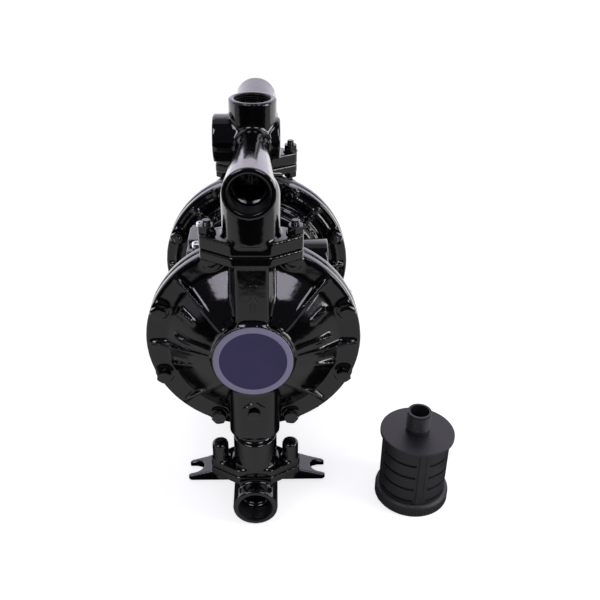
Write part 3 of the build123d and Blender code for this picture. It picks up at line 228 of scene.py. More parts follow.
class PumpStageSettings(bpy.types.PropertyGroup):
    """Camera and light"""

    lens: bpy.props.FloatProperty(
        name="Lens",
        description="Focal length of the camera",
        default=45.02,
        min=10.0,
        max=200.0,
        unit="CAMERA",
    )
    softbox: bpy.props.FloatProperty(
        name="Softbox",
        description="Brightness of the two softboxes, which only reflections show",
        default=5.0,
        min=0.0,
        max=200.0,
    )
    softbox_azimuth: bpy.props.FloatProperty(
        name="Softbox azimuth",
        description="Angle of the softboxes from straight ahead",
        default=radians(36.0),
        min=0.0,
        max=radians(90.0),
        subtype="ANGLE",
    )
    softbox_height: bpy.props.FloatProperty(
        name="Softbox height",
        description="Angle of the softboxes over the horizon",
        default=radians(42.0),
        min=0.0,
        max=radians(80.0),
        subtype="ANGLE",
    )
    backdrop: bpy.props.FloatProperty(
        name="Backdrop",
        description="Brightness of the backdrop behind the pump",
        default=1.7,
        min=0.0,
        max=20.0,
    )
    room: bpy.props.FloatProperty(
        name="Room",
        description="Brightness of the room in front of the pump",
        default=0.06,
        min=0.0,
        max=5.0,
    )
    table: bpy.props.FloatProperty(
        name="Table",
        description="Brightness that a reflection of the table gains",
        default=0.5,
        min=0.0,
        max=20.0,
    )
    table_edge: bpy.props.FloatProperty(
        name="Table edge",
        description="Distance of the front edge of the table from the middle of the pump",
        default=0.59,
        min=0.2,
        max=4.0,
        unit="LENGTH",
    )
    lamps: bpy.props.FloatProperty(
        name="Lamps",
        description="Power of the lamp at the front left, which the other lamps are shares of",
        default=1.6,
        min=0.0,
        max=500.0,
        unit="POWER",
    )
    walls: bpy.props.FloatProperty(
        name="Side walls",
        description="Brightness of the walls beside the pump in reflections",
        default=0.7,
        min=0.0,
        max=5.0,
    )
    ambient: bpy.props.FloatProperty(
        name="Ambient",
        description="Brightness of the even light from all round",
        default=0.45,
        min=0.0,
        max=5.0,
    )
    tint: bpy.props.FloatVectorProperty(
        name="Studio tint",
        description="Colour of the studio's light",
        subtype="COLOR",
        size=3,
        default=(0.9, 0.86, 1.0),
        min=0.0,
        max=1.0,
    )


# ---- Surfaces ----


def shade_smooth(mesh):
    """Shades all faces of a mesh smooth."""
    mesh.polygons.foreach_set("use_smooth", np.ones(len(mesh.polygons), bool))
    mesh.update()


def linked(name, mesh):
    """A mesh as an object at the origin."""
    piece = bpy.data.objects.new(name, mesh)
    bpy.context.scene.collection.objects.link(piece)
    return piece


def grid_faces(rows, columns, close_rows):
    """Quads of a grid whose columns close on themselves, and whose rows may."""
    row = np.arange(rows if close_rows else rows - 1)[:, None]
    column = np.arange(columns)[None, :]
    next_row = (row + 1) % rows
    next_column = (column + 1) % columns
    corners = [
        row * columns + column,
        row * columns + next_column,
        next_row * columns + next_column,
        next_row * columns + column,
    ]
    return np.stack([np.broadcast_to(c, (len(row), columns)) for c in corners], -1).reshape(-1, 4)


def mesh_from_grids(name, grids, closed=False, sharp=40.0):
    """One mesh from several grids of points, each an array of rows, columns and x, y, z in
    millimetres. Rings that shrink to a point are welded, and faces are turned outwards."""
    points, faces, count = [], [], 0
    for grid in grids:
        rows, columns = grid.shape[:2]
        faces.append(grid_faces(rows, columns, closed) + count)
        points.append(grid.reshape(-1, 3))
        count += rows * columns
    mesh = bpy.data.meshes.new(name)
    mesh.from_pydata((np.concatenate(points) * MM).tolist(), [], np.concatenate(faces).tolist())
    shape = bmesh.new()
    shape.from_mesh(mesh)
    bmesh.ops.remove_doubles(shape, verts=shape.verts, dist=1e-6)
    bmesh.ops.dissolve_degenerate(shape, edges=shape.edges, dist=1e-7)
    bmesh.ops.recalc_face_normals(shape, faces=shape.faces)
    shape.to_mesh(mesh)
    shape.free()
    shade_smooth(mesh)
    piece = linked(name, mesh)
    mesh.set_sharp_from_angle(angle=radians(sharp))
    return piece


def basis(origin, out, across=None):
    """Origin, and the three unit directions of a local frame whose third points out."""
    out = np.array(out, float) / np.linalg.norm(out)
    if across is None:
        across = (0, 0, 1) if abs(out[2]) < 0.9 else (1, 0, 0)
    first = np.cross(across, out)
    first /= np.linalg.norm(first)
    return np.array(origin, float), first, np.cross(out, first), out


def placed(place, radius, angle, height):
    """Points at a radius and an angle round the frame's third direction, at a height along it."""
    origin, first, second, out = place
    x = (radius * np.cos(angle))[..., None] * first
    y = (radius * np.sin(angle))[..., None] * second
    return origin + x + y + height[..., None] * out


def ring_grid(place, rings, angle):
    """Rings of (radius, height) pairs round the frame's third direction, each an array over the
    angles, so that a ring may leave the circle and the level."""
    radius = np.stack([r for r, _ in rings])
    height = np.stack([h for _, h in rings])
    return placed(place, radius, np.broadcast_to(angle, radius.shape), height)


def turned_grid(place, profile, columns=64):
    """A profile of (radius, height) pairs carried round the frame's third direction."""
    profile = np.array(profile, float)
    angle = np.linspace(0, tau, columns, endpoint=False)
    radius, angle_grid = np.meshgrid(profile[:, 0], angle, indexing="ij")
    height = np.broadcast_to(profile[:, 1][:, None], radius.shape)
    return placed(place, radius, angle_grid, height)


def rounded(profile, radius, steps=4):
    """The same profile with each corner between its ends rounded: a quadratic curve runs from one
    side of the corner to the other, and starts up to a radius away, or at 0.45 of a short side."""

    def cut(corner, other):
        length = np.linalg.norm(other - corner)
        return corner + (other - corner) * min(radius, 0.45 * length) / max(length, 1e-9)

    profile = [np.array(p, float) for p in profile]
    out = [profile[0]]
    share = np.linspace(0, 1, steps)[:, None]
    for before, corner, after in zip(profile, profile[1:], profile[2:]):
        start, stop = cut(corner, before), cut(corner, after)
        curve = (1 - share) ** 2 * start + 2 * share * (1 - share) * corner + share**2 * stop
        out.extend(curve)
    return out + [profile[-1]]


def hexagon_radius(across, angle):
    """Distance from the centre of a hexagon to its outline: half the width across its flats,
    over the cosine of the angle from the middle of the nearest flat."""
    sector = tau / 6
    return across / 2 / np.cos((angle + sector / 2) % sector - sector / 2)


def hex_grid(place, across, height, hole=0.0, turn=0.0, columns=48, both=False):
    """Hexagonal head or nut. Each ring follows the hexagon's outline, and the top ring is a
    circle just inside the flats. The outline falls by 0.55 of its distance from that circle, so
    the corners are chamfered as on a real head, and at the foot of a nut, made on both sides."""
    angle = np.linspace(0, tau, columns, endpoint=False) + turn
    outline = hexagon_radius(across, angle - turn)
    circle = np.full(columns, across / 2 * 0.98)
    fall = (outline - circle) * 0.55
    zero = np.zeros(columns)
    foot = [(circle, zero), (outline, fall)]
    if not both:
        foot = [(outline * 0.995, zero), (outline, zero + 0.25)]
    rings = [
        (zero + hole, zero),
        *foot,
        (outline, height - fall),
        (circle, zero + height),
        (circle * 0.5 + hole * 0.5, zero + height),
        (zero + hole, zero + height),
    ]
    return ring_grid(place, rings, angle)


def bolt_end_profile(radius, length, pitch, depth):
    """Profile of a bolt's threaded end: straight flanks rise and fall once for each pitch, and
    the tip is chamfered."""
    turns = max(int((length - 1.0) / pitch), 1)
    profile = [(0.0, 0.0), (radius - depth, 0.0)]
    for turn in range(turns):
        profile += [(radius, turn * pitch + 0.5 * pitch), (radius - depth, turn * pitch + pitch)]
    profile += [(radius - depth * 0.6, length - 0.7), (radius - depth - 0.5, length), (0.0, length)]
    return profile


def socket_head_grid(place, radius, height, socket, depth, columns=48):
    """Round head with a hexagonal socket: rings go up the side, whose radius drops at each of 24
    grips, over the rounded edge, in to the socket's outline, and down to its floor."""
    angle = np.linspace(0, tau, columns, endpoint=False)
    one = np.ones(columns)
    six = hexagon_radius(socket, angle)
    grip = 0.12 * (np.cos(angle * 24) > 0)
    rings = [
        (0 * one, 0 * one),
        (radius * one - grip, 0 * one),
        (radius * one - grip, (height - 0.8) * one),
        ((radius - 0.25) * one, (height - 0.25) * one),
        ((radius - 0.8) * one, height * one),
        ((socket / 2 + 0.75) * one, height * one),
        (six, (height - 0.35) * one),
        (six, (height - depth) * one),
        (0 * one, (height - depth - 0.4) * one),
    ]
    return ring_grid(place, rings, angle)


def thread_grid(place, radius, length, pitch, depth, inside=True, columns=120, rows_per_turn=8):
    """Threaded wall. Along the axis the radius rises and falls once for each pitch, and the
    phase falls by one turn round the axis, so the ridge is a helix that meets itself. It fades
    out at both ends, and the grid returns along a plain wall that is sunk in the metal."""
    rows = int(length / pitch * rows_per_turn)
    level = np.linspace(0, length, rows)
    angle = np.linspace(0, tau, columns, endpoint=False)
    height, turn = np.meshgrid(level, angle, indexing="ij")
    phase = (height / pitch - turn / tau) % 1
    ridge = np.clip(1.25 * (1 - np.abs(2 * phase - 1)) - 0.05, 0, 1)
    fade = np.clip((length - height) / (1.2 * pitch), 0, 1) * np.clip(height / pitch, 0, 1)
    if inside:
        wave, back = radius - depth * ridge * fade, radius + 0.6
    else:
        wave, back = radius - depth + depth * ridge * fade, radius - depth - 0.8
    plain = np.full((2, columns), back)
    ends = np.stack([np.full(columns, length), np.zeros(columns)])
    radius_grid = np.concatenate([wave, plain])
    height_grid = np.concatenate([height, ends])
    return placed(place, radius_grid, np.broadcast_to(angle, radius_grid.shape), height_grid)


# ---- Materials ----


def new_material(name):
    """A node material, its node graph and its main shader."""
    material = bpy.data.materials.new(name)
    material.use_nodes = True
    graph = material.node_tree
    return material, graph, graph.nodes["Principled BSDF"]


def node_of(graph, kind, inputs, **settings):
    """A node with its settings, whose inputs get numbers, colours or other nodes' outputs. An
    input that gets nothing is left as it is."""
    node = graph.nodes.new("ShaderNode" + kind)
    for name, value in settings.items():
        setattr(node, name, value)
    for name, value in inputs.items():
        if isinstance(value, bpy.types.NodeSocket):
            graph.links.new(value, node.inputs[name])
        elif value is not None:
            node.inputs[name].default_value = value
    return node


def object_place(graph):
    """Place on the object, in metres."""
    return graph.nodes.new("ShaderNodeTexCoord").outputs["Object"]


def noise(graph, scale, detail=4.0, roughness=0.5):
    """Noise over the place on the object."""
    inputs = {"Vector": object_place(graph), "Scale": scale, "Detail": detail, "Roughness": roughness}
    return node_of(graph, "TexNoise", inputs).outputs["Fac"]


def ramp(graph, value, stops):
    """Colours picked along a value, as (position, colour) pairs."""
    band = node_of(graph, "ValToRGB", {"Fac": value})
    elements = band.color_ramp.elements
    while len(elements) < len(stops):
        elements.new(0.5)
    for element, (position, colour) in zip(elements, stops):
        element.position = position
        element.color = (*colour, 1.0)
    return band.outputs["Color"]


def spread(graph, value, low, high):
    """A value mapped from 0..1 to low..high."""
    return node_of(graph, "MapRange", {"Value": value, "To Min": low, "To Max": high}).outputs["Result"]


def bump(graph, height, strength, distance, before=None):
    """Bump from a height, over another bump where there is one."""
    inputs = {"Height": height, "Strength": strength, "Distance": distance, "Normal": before}
    return node_of(graph, "Bump", inputs).outputs["Normal"]


def mixed(graph, factor, first, second, kind="FLOAT"):
    """The first of two values where the factor is 0, and the second where it is 1."""
    inputs = {"Factor": factor, "A": first, "B": second}
    return node_of(graph, "Mix", inputs, data_type=kind).outputs["Result"]


def axes(graph, vector):
    """The x, y and z of a vector."""
    node = node_of(graph, "SeparateXYZ", {"Vector": vector})
    return [node.outputs[axis] for axis in "XYZ"]


def maths(graph, operation, first, second=None):
    """One maths node on one or two sockets or numbers."""
    return node_of(graph, "Math", {0: first, 1: second}, operation=operation).outputs["Value"]


def scaled(graph, value, factor):
    """A value times a number."""
    return maths(graph, "MULTIPLY", value, factor)


def product(graph, first, second, factor=1.0):
    """Product of two values, times a number."""
    return scaled(graph, maths(graph, "MULTIPLY", first, second), factor)


def total(graph, first, second):
    """Sum of two values."""
    return maths(graph, "ADD", first, second)


def size_of(graph, value):
    """A value without its sign."""
    return maths(graph, "ABSOLUTE", value)


def dot(graph, vector, axis):
    """Share of a vector along an axis."""
    return node_of(graph, "VectorMath", {0: vector, 1: axis}, operation="DOT_PRODUCT").outputs["Value"]


def window(graph, value, dark, bright):
    """Soft step from 0 at one value to 1 at the other."""
    inputs = {
        "Value": value,
        "From Min": min(dark, bright),
        "From Max": max(dark, bright),
        "To Min": float(dark > bright),
        "To Max": float(bright > dark),
    }
    return node_of(graph, "MapRange", inputs, interpolation_type="SMOOTHSTEP").outputs["Result"]


def wire(graph, shader, colour, roughness, normal):
    """Joins a colour, a roughness and a normal to the main shader."""
    graph.links.new(colour, shader.inputs["Base Color"])
    graph.links.new(roughness, shader.inputs["Roughness"])
    graph.links.new(normal, shader.inputs["Normal"])


def tinted(colour, share):
    """The same colour, lighter or darker."""
    return tuple(min(1.0, c * share) for c in colour)


def gloss_paint(name="gloss_black_paint", share=1.0):
    """Thick black gloss paint over a sand casting: a slow waviness and a fine orange peel, with
    faint changes of gloss."""
    paint = bpy.context.scene.pump_paint
    material, graph, shader = new_material(name)
    cloud = noise(graph, 38.0)
    low, high = tinted(paint.colour, 0.8 * share), tinted(paint.colour, 1.35 * share)
    colour = ramp(graph, cloud, [(0.3, low), (0.75, high)])
    gloss = noise(graph, 160.0)
    rough = spread(graph, gloss, paint.roughness * 0.7, paint.roughness * 1.3)
    wave = bump(graph, noise(graph, 75.0, 2.0), paint.grain, 0.0016)
    peel = bump(graph, noise(graph, 620.0, 2.0), paint.grain * 0.7, 0.00018, wave)
    wire(graph, shader, colour, rough, peel)
    shader.inputs["IOR"].default_value = 1.6
    return material


def machined_paint():
    """Dull black of threads and cut faces, with fine turning marks."""
    paint = bpy.context.scene.pump_paint
    material, graph, shader = new_material("dull_black_thread")
    grain = noise(graph, 420.0, 6.0, 0.7)
    low, high = tinted(paint.colour, 0.8), tinted(paint.colour, 2.2)
    shader.inputs["Specular IOR Level"].default_value = 0.2
    colour = ramp(graph, grain, [(0.35, low), (0.8, high)])
    marks = bump(graph, grain, 0.3, 0.0003)
    wire(graph, shader, colour, spread(graph, grain, 0.4, 0.6), marks)
    return material


def metal(name, colour, roughness, scale=240.0):
    """Bare metal with fine marks and faint stains."""
    material, graph, shader = new_material(name)
    shader.inputs["Metallic"].default_value = 1.0
    marks = noise(graph, scale, 5.0, 0.6)
    stops = [(0.3, tinted(colour, 0.82)), (0.7, tinted(colour, 1.08))]
    rough = spread(graph, marks, roughness * 0.7, roughness * 1.4)
    scratches = bump(graph, noise(graph, scale * 3, 3.0), 0.08, 0.0002)
    wire(graph, shader, ramp(graph, marks, stops), rough, scratches)
    return material


def dull(name, colour, roughness, scale=300.0, strength=0.2, depth=0.0003):
    """Plastic, rubber or felt with an even fine grain."""
    material, graph, shader = new_material(name)
    grain = noise(graph, scale, 5.0, 0.6)
    patches = noise(graph, scale / 12)
    stops = [(0.3, tinted(colour, 0.85)), (0.75, tinted(colour, 1.18))]
    rough = spread(graph, grain, roughness * 0.85, min(1.0, roughness * 1.15))
    normal = bump(graph, grain, strength, depth)
    wire(graph, shader, ramp(graph, patches, stops), rough, normal)
    return material


def badge_material():
    """Satin printed plate: a purple field and a paler rim, parted by the distance from the
    badge's axis."""
    badge = bpy.context.scene.pump_badge
    material, graph, shader = new_material("badge_print")
    inputs = {"Vector": object_place(graph), "Location": (0, 0, -AXIS_Z * MM), "Scale": (1, 0, 1)}
    centred = node_of(graph, "Mapping", inputs).outputs["Vector"]
    length = node_of(graph, "VectorMath", {0: centred}, operation="LENGTH")
    edge = float(BADGE_HIGH[0]) * MM - badge.rim_width
    rim = window(graph, length.outputs["Value"], edge - 0.0003, edge + 0.0003)
    cloud = noise(graph, 30.0, 3.0)
    stops = [(0.3, tinted(badge.colour, 0.92)), (0.7, tinted(badge.colour, 1.1))]
    colour = mixed(graph, rim, ramp(graph, cloud, stops), (*badge.rim_colour, 1.0), "RGBA")
    shader.inputs["Specular IOR Level"].default_value = 0.3
    grain = bump(graph, noise(graph, 900.0, 2.0), 0.05, 0.0001)
    wire(graph, shader, colour, spread(graph, cloud, 0.34, 0.46), grain)
    return material


MATERIALS = {}


def finish_of(name):
    """The named finish, made once."""
    plastic = tuple(bpy.context.scene.pump_muffler.colour)
    makers = {
        "paint": gloss_paint,
        "bolt_paint": lambda: gloss_paint("black_bolt_paint", 1.3),
        "thread": machined_paint,
        "steel": lambda: metal("bright_steel", (0.72, 0.72, 0.74), 0.22),
        "aluminium": lambda: metal("machined_aluminium", (0.74, 0.75, 0.77), 0.3),
        "brass": lambda: metal("bearing_brass", (0.72, 0.52, 0.24), 0.28),
        "rubber": lambda: dull("black_rubber", (0.018, 0.018, 0.02), 0.6),
        "gasket": lambda: dull("gasket_sheet", (0.05, 0.05, 0.052), 0.75, 500.0),
        "ptfe": lambda: dull("white_valve_plastic", (0.82, 0.82, 0.8), 0.35, 200.0, 0.05),
        "felt": lambda: dull("muffler_felt", (0.55, 0.53, 0.48), 0.95, 700.0, 0.6, 0.0012),
        "muffler": lambda: dull("charcoal_plastic", plastic, 0.5, 380.0, 0.22, 0.0002),
        "badge": badge_material,
    }
    if name not in MATERIALS:
        MATERIALS[name] = makers[name]()
    return MATERIALS[name]


def dress(piece, finish):
    """Gives a piece one finish."""
    piece.data.materials.clear()
    piece.data.materials.append(finish_of(finish))


def fit_out(piece, finish, body, slot, *nodes):
    """Finish, body and replaced nodes of a new piece. The slot argument is not used."""
    dress(piece, finish)
    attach(piece, body)
    if nodes:
        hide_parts(*nodes)


# ---- Castings ----


def relaxed(mesh, passes, crispness):
    """Moves each point of a dense mesh halfway to the middle of its neighbours, again and again.
    After the first two passes, points that would sink into the solid move less, so that corners
    fill up and edges stay crisp."""

    def read(items, field, width, kind=float):
        values = np.empty(len(items) * width, kind)
        items.foreach_get(field, values)
        return values.reshape(-1, width)

    count = len(mesh.vertices)
    points = read(mesh.vertices, "co", 3)
    outward = read(mesh.vertex_normals, "vector", 3)
    edges = read(mesh.edges, "vertices", 2, np.int64)
    ends, others = edges.T.ravel(), edges[:, ::-1].T.ravel()
    neighbours = np.bincount(ends, minlength=count)[:, None]
    for turn in range(passes):
        columns = [np.bincount(ends, points[others, axis], count) for axis in range(3)]
        shift = np.stack(columns, axis=1) / neighbours - points
        sinks = np.einsum("ij,ij->i", shift, outward) < 0
        factor = np.where(sinks & (turn > 1), 0.5 * (1 - crispness), 0.5)
        points += factor[:, None] * shift
    mesh.vertices.foreach_set("co", points.ravel())


def skin(name, node):
    """Skin of a painted casting: the node's solid, rebuilt from small cells and relaxed, so that
    inner corners are filled like those of a casting."""
    settings = bpy.context.scene.pump_castings
    shape = bmesh.new()
    shape.from_mesh(frame["nodes"][node].data)
    bmesh.ops.remove_doubles(shape, verts=shape.verts, dist=1e-6)
    mesh = bpy.data.meshes.new(name)
    shape.to_mesh(mesh)
    shape.free()
    piece = linked(name, mesh)
    rebuild = piece.modifiers.new("rebuild", "REMESH")
    rebuild.mode = "VOXEL"
    rebuild.voxel_size = settings.cell
    bpy.context.view_layer.update()
    rebuilt = piece.evaluated_get(bpy.context.evaluated_depsgraph_get())
    made = bpy.data.meshes.new_from_object(rebuilt)
    piece.modifiers.clear()
    relaxed(made, settings.passes, settings.crispness)
    piece.data = made
    made.name = name
    shade_smooth(made)
    fit_out(piece, "paint", "pump", "black_casting", node)


def relief_grid(place, outline, height, sink=1.2):
    """Raised mark with a bevelled edge. Its outline, all of which its origin sees, stands at the
    foot and under the edge, is drawn in by the bevel on top, and shrinks to a point there."""
    origin, first, second, out = place
    corners = np.array(outline, float)
    reach = np.linalg.norm(corners, axis=1, keepdims=True)
    bevel = 0.45 * height
    inset = corners * (1 - bevel / reach)
    rings = []
    for ring, rise in (
        (corners * 0, -sink),
        (corners, -sink),
        (corners, height - bevel),
        (inset, height),
        (inset * 0.5, height),
        (inset * 0, height),
    ):
        rings.append(origin + ring[:, :1] * first + ring[:, 1:] * second + rise * out)
    return np.stack(rings)


def node_tree(node):
    """Search tree of a node's surface."""
    mesh = frame["nodes"][node].data
    return BVHTree.FromPolygons([v.co for v in mesh.vertices], [p.vertices for p in mesh.polygons])


def first_touch(tree, start, way):
    """Where a straight way from a start point first meets a surface, and the surface's outward
    direction there, in millimetres."""
    point, out, _, _ = tree.ray_cast(Vector(start) * MM, Vector(way))
    return np.array(point) / MM, np.array(out)


def cover_touch(tree, side, x, z):
    """Surface of a liquid cover, seen from its end of the pump, at an x and a height over the
    pump's axis."""
    return first_touch(tree, (-side * x, side * 2 * COLUMN_Y, AXIS_Z + z), (0, -side, 0))


# Marks of a cover, as x and height over the pump's axis, in millimetres, and angles in radians.
ARROW = [(-2.2, -10.5), (2.2, -10.5), (2.2, 0), (4.4, 0), (0, 7.6), (-4.4, 0), (-2.2, 0)]
ARROW_PLACE = (0.5, 60.4)
ARROW_RISE = 1.3
SPOTS = 14
SPOT_LONG, SPOT_WIDE, SPOT_RISE = (1.4, 3.4), (0.9, 1.6), (0.3, 0.55)
SPOT_X, SPOT_Z, SPOT_TURN = (-2.4, 3.0), (73.0, 93.0), (-1.2, 1.2)
LUG_PLACE, LUG_SIZE, LUG_RISE, LUG_TURN = (20.5, 36.6), (9.0, 8.0), 3.4, 0.5
STROKE_PLACES = ((4.4, -50.4), (8.2, -53.6))
STROKE_SIZE, STROKE_RISE, STROKE_TURN = (5.2, 1.8), 1.3, 0.75


def bar(long, wide):
    """Outline of a straight bar round its middle."""
    return [(-long / 2, -wide / 2), (long / 2, -wide / 2), (long / 2, wide / 2), (-long / 2, wide / 2)]


def cover_mark(tree, side, x, z, outline, rise, turn=0.0):
    """Raised mark on a liquid cover. It lies in the plane that touches the cover there, and its
    first direction is the outline's x, turned from the level and laid into that plane."""
    across, up = np.array((-side, 0, 0), float), np.array((0, 0, 1), float)
    point, out = cover_touch(tree, side, x, z)
    first = across * cos(turn) + up * sin(turn)
    first = first - np.dot(first, out) * out
    first /= np.linalg.norm(first)
    second = np.cross(out, first)
    if np.dot(second, up * cos(turn) - across * sin(turn)) < 0:
        second = -second
    return relief_grid((point, first, second, out), outline, rise)


def cover_marks(node, side):
    """Raised marks of a liquid cover: an arrow on the upper column with rough spots over it, two
    square lugs beside the badge, and two short strokes at each side over the drain plug."""
    tree = node_tree(node)
    marks = [cover_mark(tree, side, *ARROW_PLACE, ARROW, ARROW_RISE)]
    random = np.random.default_rng(7)
    for _ in range(SPOTS):
        outline = bar(random.uniform(*SPOT_LONG), random.uniform(*SPOT_WIDE))
        x, z, turn = random.uniform(*SPOT_X), random.uniform(*SPOT_Z), random.uniform(*SPOT_TURN)
        marks.append(cover_mark(tree, side, x, z, outline, random.uniform(*SPOT_RISE), turn))
    for flank in (-1, 1):
        x, z = LUG_PLACE
        marks.append(cover_mark(tree, side, flank * x, z, bar(*LUG_SIZE), LUG_RISE, -flank * LUG_TURN))
        for x, z in STROKE_PLACES:
            stroke = bar(*STROKE_SIZE)
            turn = -flank * STROKE_TURN
            marks.append(cover_mark(tree, side, flank * x, z, stroke, STROKE_RISE, turn))
    return marks


MIDDLE_CASTINGS = {
    "discharge_casting": "discharge_manifold",
    "suction_casting": "suction_manifold",
    "centre_casting": "centre_body",
    "valve_casting": "valve_block",
    "valve_top_casting": "valve_top_cap",
    "valve_bottom_casting": "valve_bottom_cap",
}


class PUMP_OT_castings(bpy.types.Operator):
    """Make the painted castings"""

    bl_idname = "pump.castings"
    bl_label = "Castings"

    def execute(self, context):
        for end, side in ENDS:
            skin(f"{end}_cover_casting", f"{end}_fluid_cover")
            marks = cover_marks(f"{end}_fluid_cover", side)
            piece = mesh_from_grids(f"{end}_cover_marks", marks, sharp=30.0)
            fit_out(piece, "paint", "pump", "black_casting")
            skin(f"{end}_chamber_casting", f"{end}_air_chamber")
        for name, node in MIDDLE_CASTINGS.items():
            skin(name, node)
        return {"FINISHED"}


LEAD_IN = 0.6  # plain length at both ends of a port's thread
THREAD_SINK = 0.35  # how deep the thread's root lies in the port's wall


class PUMP_OT_threads(bpy.types.Operator):
    """Make the threads of the ports"""

    bl_idname = "pump.threads"
    bl_label = "Port threads"

    def execute(self, context):
        settings = context.scene.pump_threads
        pitch, depth = settings.pitch / MM, settings.depth / MM
        groups = {"discharge_threads": [], "suction_threads": [], "exhaust_threads": []}
        for mount in frame["record"]["mounts"]:
            if mount["kind"] != "threaded_hole" or mount["name"] == "air_inlet":
                continue
            group = mount["name"].split("_")[0] + "_threads"
            length = mount["dims"]["length_mm"]
            out = np.array(mount["axis"], float)
            mouth = np.array(mount["pos_m"]) / MM + out * length / 2
            place = basis(mouth - out * LEAD_IN, -out)
            radius = mount["dims"]["r_mm"] + THREAD_SINK
            grid = thread_grid(place, radius, length - 2 * LEAD_IN, pitch, depth)
            groups[group].append(grid)
        for name, grids in groups.items():
            piece = mesh_from_grids(name, grids, closed=True, sharp=60.0)
            fit_out(piece, "thread", "pump", "black_casting")
        return {"FINISHED"}


# ---- Fasteners ----

# Sizes in millimetres, and the first bolt's angle in degrees.
HEX_ACROSS, HEX_HEAD = 13.0, 5.3
BOLT_R, BOLT_PITCH, BOLT_DEPTH = 4.0, 1.25, 0.5
NUT_HOLE_R = 4.05
WASHER_HOLE_R, WASHER_R, WASHER_EDGE = 4.3, 8.0, 0.4
SOCKET_HEAD_R, SOCKET_HEAD, SOCKET_ACROSS, SOCKET_DEPTH = 5.0, 6.0, 5.0, 3.0
SCREW_R, SCREW_PITCH, SCREW_DEPTH = 3.0, 1.0, 0.4
CAP_SCREW_SHANK = 19.2
COVER_CIRCLE_R, COVER_BOLTS, FIRST_BOLT = 94.0, 8, 22.5


def ring_places(radius, count, first):
    """Points on a circle about the pump axis, as angle, x and z."""
    angles = [radians(first) + tau / count * i for i in range(count)]
    return [(a, radius * cos(a), AXIS_Z + radius * sin(a)) for a in angles]


def hexagon_bolt(seat, out, corner, length):
    """Bolt under whose head lies the seat. The head stands outwards, with its corners turned by
    a direction, and the shank runs the other way."""
    head = hex_grid(basis(seat, out, corner), HEX_ACROSS, HEX_HEAD)
    thread = bolt_end_profile(BOLT_R, length, BOLT_PITCH, BOLT_DEPTH)
    return [head, turned_grid(basis(seat, -np.array(out)), thread, 24)]


def hexagon_nut(seat, out, corner, thick):
    """Nut on a seat, with its corners turned by a direction."""
    return hex_grid(basis(seat, out, corner), HEX_ACROSS, thick, hole=NUT_HOLE_R, both=True)


def socket_screw(seat, out, length):
    """Socket head screw under whose head lies the seat. The head stands outwards, and the shank
    runs the other way."""
    head = socket_head_grid(basis(seat, out), SOCKET_HEAD_R, SOCKET_HEAD, SOCKET_ACROSS, SOCKET_DEPTH)
    thread = bolt_end_profile(SCREW_R, length, SCREW_PITCH, SCREW_DEPTH)
    return [head, turned_grid(basis(seat, -np.array(out)), thread, 24)]


def fastener_piece(name, grids, finish, slot, node):
    """One piece from the grids of like fasteners, in place of their node."""
    piece = mesh_from_grids(name, grids, sharp=35.0)
    fit_out(piece, finish, "pump", slot, node)


def black_fasteners(name, grids, node):
    """Painted fasteners in place of their node."""
    fastener_piece(name, grids, "bolt_paint", "black_fasteners", node)


class PUMP_OT_cover_fasteners(bpy.types.Operator):
    """Make the bolts and nuts of the liquid covers"""

    bl_idname = "pump.cover_fasteners"
    bl_label = "Cover bolts and nuts"

    def execute(self, context):
        for end, side in ENDS:
            near, far = outer_and_inner(f"{end}_cover_bolts", side)
            nut_near, nut_far = outer_and_inner(f"{end}_cover_nuts", side)
            bolts, nuts = [], []
            for angle, x, z in ring_places(COVER_CIRCLE_R, COVER_BOLTS, FIRST_BOLT):
                seat, corner = (x, near - side * HEX_HEAD, z), (cos(angle), 0, sin(angle))
                bolts += hexagon_bolt(seat, (0, side, 0), corner, abs(far - near) - HEX_HEAD)
                thick = abs(nut_far - nut_near)
                nuts.append(hexagon_nut((x, nut_near, z), (0, -side, 0), corner, thick))
            black_fasteners(f"{end}_cover_hex_bolts", bolts, f"{end}_cover_bolts")
            black_fasteners(f"{end}_cover_hex_nuts", nuts, f"{end}_cover_nuts")
        return {"FINISHED"}


def flange_places(bolt_x):
    """The four places of a manifold's flange bolts, as x and y."""
    return [(x, y) for x in (-bolt_x, bolt_x) for y in (-COLUMN_Y, COLUMN_Y)]


def flange_bolt(x, y, low, high, corner):
    """Bolt of a flange, with its head down, between the lowest and the highest corner."""
    return hexagon_bolt((x, y, low[2] + HEX_HEAD), (0, 0, -1), corner, high[2] - low[2] - HEX_HEAD)


class PUMP_OT_flange_fasteners(bpy.types.Operator):
    """Make the bolts, nuts and washers of the manifold flanges"""

    bl_idname = "pump.flange_fasteners"
    bl_label = "Flange bolts"

    def execute(self, context):
        low, high = node_box("discharge_flange_bolts")
        nut_low, nut_high = node_box("discharge_flange_nuts")
        washer_low, washer_high = node_box("discharge_flange_washers")
        thick = washer_high[2] - washer_low[2]
        section = [(WASHER_HOLE_R, 0), (WASHER_R, 0), (WASHER_R, thick), (WASHER_HOLE_R, thick)]
        section = rounded(section + section[:1], WASHER_EDGE)
        bolts, nuts, washers = [], [], []
        for x, y in flange_places(high[0] - HEX_ACROSS / 3**0.5):
            bolts += flange_bolt(x, y, low, high, (0, 1, 0))
            nuts.append(hexagon_nut((x, y, nut_low[2]), (0, 0, 1), (0, 1, 0), nut_high[2] - nut_low[2]))
            washers.append(turned_grid(basis((x, y, washer_low[2]), (0, 0, 1)), section, 48))
        black_fasteners("discharge_hex_bolts", bolts, "discharge_flange_bolts")
        black_fasteners("discharge_hex_nuts", nuts, "discharge_flange_nuts")
        black_fasteners("discharge_round_washers", washers, "discharge_flange_washers")
        low, high = node_box("suction_flange_bolts")
        bolts = []
        for x, y in flange_places(high[0] - HEX_ACROSS / 2):
            bolts += flange_bolt(x, y, low, high, (1, 0, 0))
        black_fasteners("suction_hex_bolts", bolts, "suction_flange_bolts")
        return {"FINISHED"}


